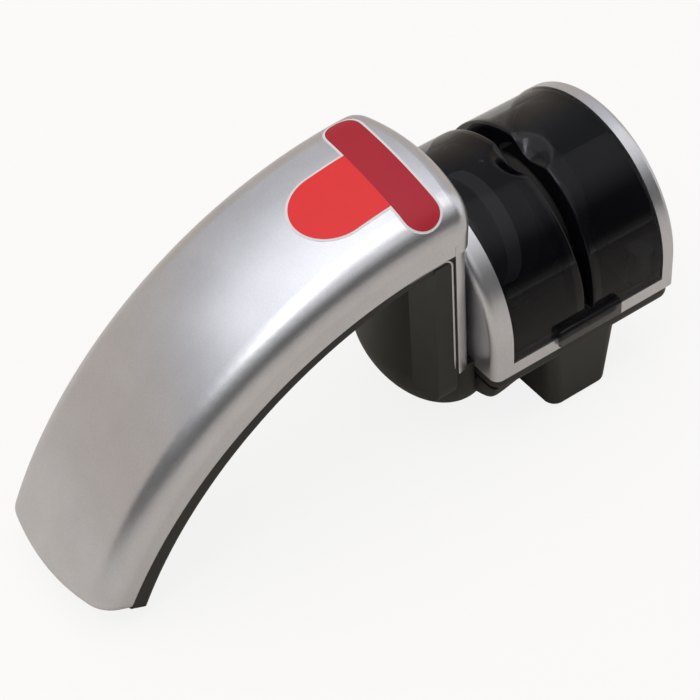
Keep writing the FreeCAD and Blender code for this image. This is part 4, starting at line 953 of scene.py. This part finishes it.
class SHARPENER_OT_screws(bpy.types.Operator):
    """Sets a cross-recess screw at each place of the screw solids"""
    bl_idname = "sharpener.screws"
    bl_label = "Screws"
    ARCH_PLACES = (0.26, 0.78)

    def execute(self, context):
        screws = context.scene.sharpener_screws
        places = self.places(context, screws)
        mesh = bpy.data.meshes.new("screws")
        mesh.from_pydata([place for place, _, _ in places], [], [])
        for name, kind in (("turn", "FLOAT_VECTOR"), ("reach", "FLOAT")):
            mesh.attributes.new(name, kind, "POINT")
        for i, (_, tilt, shank) in enumerate(places):
            mesh.attributes["turn"].data[i].vector = tilt
            mesh.attributes["reach"].data[i].value = shank
        piece = bpy.data.objects.new("screws", mesh)
        context.scene.collection.objects.link(piece)
        sizes = {
            "Head radius": screws.head_radius, "Head height": screws.head, "Shank radius": screws.shank,
            "Recess length": screws.recess, "Recess width": screws.recess_width,
            "Recess depth": screws.recess_depth}
        layout = self.layout_of_screws(sizes)
        layout.apply(context, piece, {**sizes, "Material": finishes(context)["steel"]})
        soften(piece)
        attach(piece, "body")
        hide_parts("base_screws", "neck_screws", "cradle_screws", "handle_screws")
        return {"FINISHED"}

    def places(self, context, screws):
        """Seat of each screw's head, its turn, and the length of its shank."""
        found = []
        r = screws.head_radius
        for node, upwards in (("base_screws", True), ("neck_screws", True), ("cradle_screws", False)):
            low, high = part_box(node)
            shank = high[2] - low[2] - screws.head
            seat = low[2] + screws.head if upwards else high[2] - screws.head
            tilt = (0, 0, 0) if upwards else (math.pi, 0, 0)
            xs = {round(low[0] + r, 6), round(high[0] - r, 6)}
            found += [((x, y, seat), tilt, shank) for x in xs for y in (low[1] + r, high[1] - r)]
        h = context.scene.sharpener_handle
        for part in self.ARCH_PLACES:
            turn = h.start + (h.end - h.start) * part
            seat = screws.seat_depth + screws.seat_fall * part
            found.append((Arch(h).place(turn, 0, -seat), (0, -turn, 0), screws.arch_reach + seat))
        return found

    def layout_of_screws(self, sizes):
        """Heads with a cross recess and shanks of each point's own length, set at points."""
        layout = Layout("screw_layout", {**dict.fromkeys(sizes, "Float"), "Material": "Material"})
        given = layout.given
        head = layout.node("MeshCylinder", values={
            "Vertices": 40, "Radius": given("Head radius"), "Depth": given("Head height")})
        head = layout.raised(head, given("Head height") * -0.5)
        # An arm's middle is in the head's face, so it is twice as high as the recess is deep. The second
        # goes a little deeper, because floors in one plane would leave open edges.
        arms = ("Recess length", "Recess width", 2.0), ("Recess width", "Recess length", 2.15)
        for long, wide, depth in arms:
            arm = layout.node("MeshCube", values={
                "Size": layout.spot(given(long), given(wide), given("Recess depth") * depth)})
            head = layout.node("MeshBoolean", settings={"operation": "DIFFERENCE"}, values={
                "Mesh 1": head, "Mesh 2": layout.raised(arm, given("Head height") * -1)})
        shank = layout.node("MeshCylinder", values={
            "Vertices": 28, "Radius": given("Shank radius"), "Depth": 1.0})
        shank = layout.raised(shank, 0.5)
        turn = layout.node("InputNamedAttribute", settings={"data_type": "FLOAT_VECTOR"},
                           values={"Name": "turn"})
        turn = layout.node("FunctionNodeEulerToRotation", values={"Euler": turn})
        reach = layout.node("InputNamedAttribute", settings={"data_type": "FLOAT"}, values={"Name": "reach"})
        points = given("Geometry")
        heads = layout.node("InstanceOnPoints", values={"Points": points, "Instance": head, "Rotation": turn})
        shanks = layout.node("InstanceOnPoints", values={
            "Points": points, "Instance": shank, "Rotation": turn, "Scale": layout.spot(1.0, 1.0, reach)})
        both = layout.node("JoinGeometry", values={"Geometry": [heads, shanks]})
        layout.close(both, given("Material"))
        return layout


class SHARPENER_OT_stage(bpy.types.Operator):
    """Sets up the pale floor, the soft light, the hung cloths and the camera"""
    bl_idname = "sharpener.stage"
    bl_label = "Stage"
    # Heights between which a cloth goes from its foot's tone to the middle one, and from that to the top's.
    HEM = (0.08, 0.3)
    FRONT_CREST = (0.8, 1.35)
    REAR_CREST = (0.82, 0.98)

    def execute(self, context):
        stage = context.scene.sharpener_stage
        self.floor(context, stage)
        self.cloth(context, "front_cloth", (scaled(stage.floor, 0.6), stage.flag, WHITE),
                   (-186, -36), range(3, 79, 5), self.FRONT_CREST)
        self.cloth(context, "rear_cloth", (stage.sweep, stage.sweep, stage.ceiling),
                   (6, 174), range(2, 63, 5), self.REAR_CREST)
        self.world(context, stage)
        self.lamp(context, "key", stage.key, stage.key_size, stage.key_place)
        self.lamp(context, "spark", stage.spark, stage.spark_size, stage.spark_place, aimed=True)
        self.camera(context, stage)
        context.scene.view_settings.view_transform = "Standard"
        return {"FINISHED"}

    def floor(self, context, stage):
        """Pale floor; the camera sees it nearly white, with a faint shadow."""
        half = 3.0
        mesh = bpy.data.meshes.new("floor")
        mesh.from_pydata([(-half, -half, 0), (half, -half, 0), (half, half, 0), (-half, half, 0)], [],
                         [(0, 1, 2, 3)])
        floor = bpy.data.objects.new("floor", mesh)
        context.scene.collection.objects.link(floor)
        finish = Finish("pale_floor")
        cloud = finish.noise(0.4)
        tone = finish.tint(cloud, stage.floor, 0.99, 1.01)
        matt = finish.node("BsdfPrincipled", values={"Base Color": tone, "Roughness": 0.8})
        white = finish.node("Emission", values={"Color": WHITE, "Strength": 1.0})
        seen = finish.node("LightPath", output="Is Camera Ray")
        shader = finish.node("MixShader", values={"Fac": seen * stage.whiteness, 1: matt, 2: white})
        finish.node("OutputMaterial", values={"Surface": shader})
        mesh.materials.append(finish.material)

    def cloth(self, context, name, tones, sides, rises, crest):
        """Cloth hung on one side of the set, in three tones from foot to top; only polished faces see it."""
        reach = context.scene.sharpener_stage.cloth_reach
        turns = [math.radians(a) for a in range(sides[0], sides[1] + 1, 6)]
        bm = bmesh.new()
        rows = []
        for e in (math.radians(rise) for rise in rises):
            rows.append([bm.verts.new(reach * Vector((math.cos(a) * math.cos(e), math.sin(a) * math.cos(e),
                                                      math.sin(e)))) for a in turns])
        bridge(bm, rows, closed=False)
        finish = Finish(name)
        height = finish.node("SeparateXYZ", values={"Vector": finish.point}, output="Z")
        foot, middle, top = tones
        cloth = finish.tint(finish.noise(0.5), middle, 0.9, 1.1)
        cloth = finish.mix(finish.ramp(height, *crest), cloth, top)
        cloth = finish.mix(finish.ramp(height, *self.HEM), foot, cloth)
        glow = finish.node("Emission", values={"Color": cloth, "Strength": 1.0})
        finish.node("OutputMaterial", values={"Surface": glow})
        hung = object_from(context, name, bm, finish.material)
        hung.visible_camera = False
        hung.visible_diffuse = False
        hung.visible_shadow = False

    def world(self, context, stage):
        """Even light from all round; the camera, metal and glass see it as white."""
        world = bpy.data.worlds.new("studio")
        context.scene.world = world
        world.use_nodes = True
        recipe = Recipe(world.node_tree)
        path = recipe.node("LightPath", output="Is Camera Ray")
        seen = path
        for name in ("Is Glossy Ray", "Is Transmission Ray"):
            seen = seen.maths("MAXIMUM", seen, path.beside(name))
        strength = stage.fill + (1 - stage.fill) * seen
        background = recipe.node("Background", values={"Color": WHITE, "Strength": strength})
        recipe.node("OutputWorld", values={"Surface": background})

    def lamp(self, context, name, watts, size, place, aimed=False):
        """A square lamp that points straight down, or at the object where it is aimed."""
        light = bpy.data.lights.new(name, "AREA")
        light.energy = watts
        light.shape = "RECTANGLE"
        light.size, light.size_y = size, size
        light.color = context.scene.sharpener_stage.lamp_tone
        lamp = bpy.data.objects.new(name, light)
        lamp.location = place
        if aimed:
            lamp.rotation_euler = (-Vector(place)).to_track_quat("-Z", "Y").to_euler()
        lamp.visible_camera = False
        context.scene.collection.objects.link(lamp)

    def camera(self, context, stage):
        a, e, r = stage.azimuth, stage.elevation, stage.roll
        back = Vector((math.sin(a) * math.cos(e), -math.cos(a) * math.cos(e), math.sin(e)))
        level = Vector((math.cos(a), math.sin(a), 0))
        upright = back.cross(level)
        right = math.cos(r) * level + math.sin(r) * upright
        up = math.cos(r) * upright - math.sin(r) * level
        data = bpy.data.cameras.new("camera")
        data.lens = stage.lens
        data.sensor_width = 36
        camera = bpy.data.objects.new("camera", data)
        turn = Matrix((right, up, back)).transposed().to_4x4()
        camera.matrix_world = Matrix.Translation(Vector(stage.target) + back * stage.distance) @ turn
        context.scene.collection.objects.link(camera)
        context.scene.camera = camera


class SHARPENER_PT_pieces(bpy.types.Panel):
    """Lists the pieces of the sharpener"""
    bl_idname = "SHARPENER_PT_pieces"
    bl_label = "Knife sharpener"
    bl_space_type = "VIEW_3D"
    bl_region_type = "UI"
    bl_category = "Sharpener"

    def draw(self, context):
        for operator in OPERATORS:
            self.layout.operator(operator.bl_idname)


GROUPS = {
    "sharpener_finishes": SharpenerFinishes, "sharpener_handle": SharpenerHandle,
    "sharpener_label": SharpenerLabel, "sharpener_cover": SharpenerCover, "sharpener_lip": SharpenerLip,
    "sharpener_heel": SharpenerHeel, "sharpener_screws": SharpenerScrews, "sharpener_stage": SharpenerStage,
}
OPERATORS = (SHARPENER_OT_finish_solids, SHARPENER_OT_dust_cover, SHARPENER_OT_label, SHARPENER_OT_shell_lip,
             SHARPENER_OT_heel, SHARPENER_OT_screws, SHARPENER_OT_stage)


def register():
    for cls in (*GROUPS.values(), *OPERATORS, SHARPENER_PT_pieces):
        bpy.utils.register_class(cls)
    for name, group in GROUPS.items():
        setattr(bpy.types.Scene, name, PointerProperty(type=group))


def unregister():
    for name in GROUPS:
        delattr(bpy.types.Scene, name)
    for cls in (SHARPENER_PT_pieces, *reversed(OPERATORS), *GROUPS.values()):
        bpy.utils.unregister_class(cls)


def main():
    register()
    for operator in OPERATORS:
        group, name = operator.bl_idname.split(".")
        getattr(getattr(bpy.ops, group), name)()


if __name__ == "__main__":
    main()
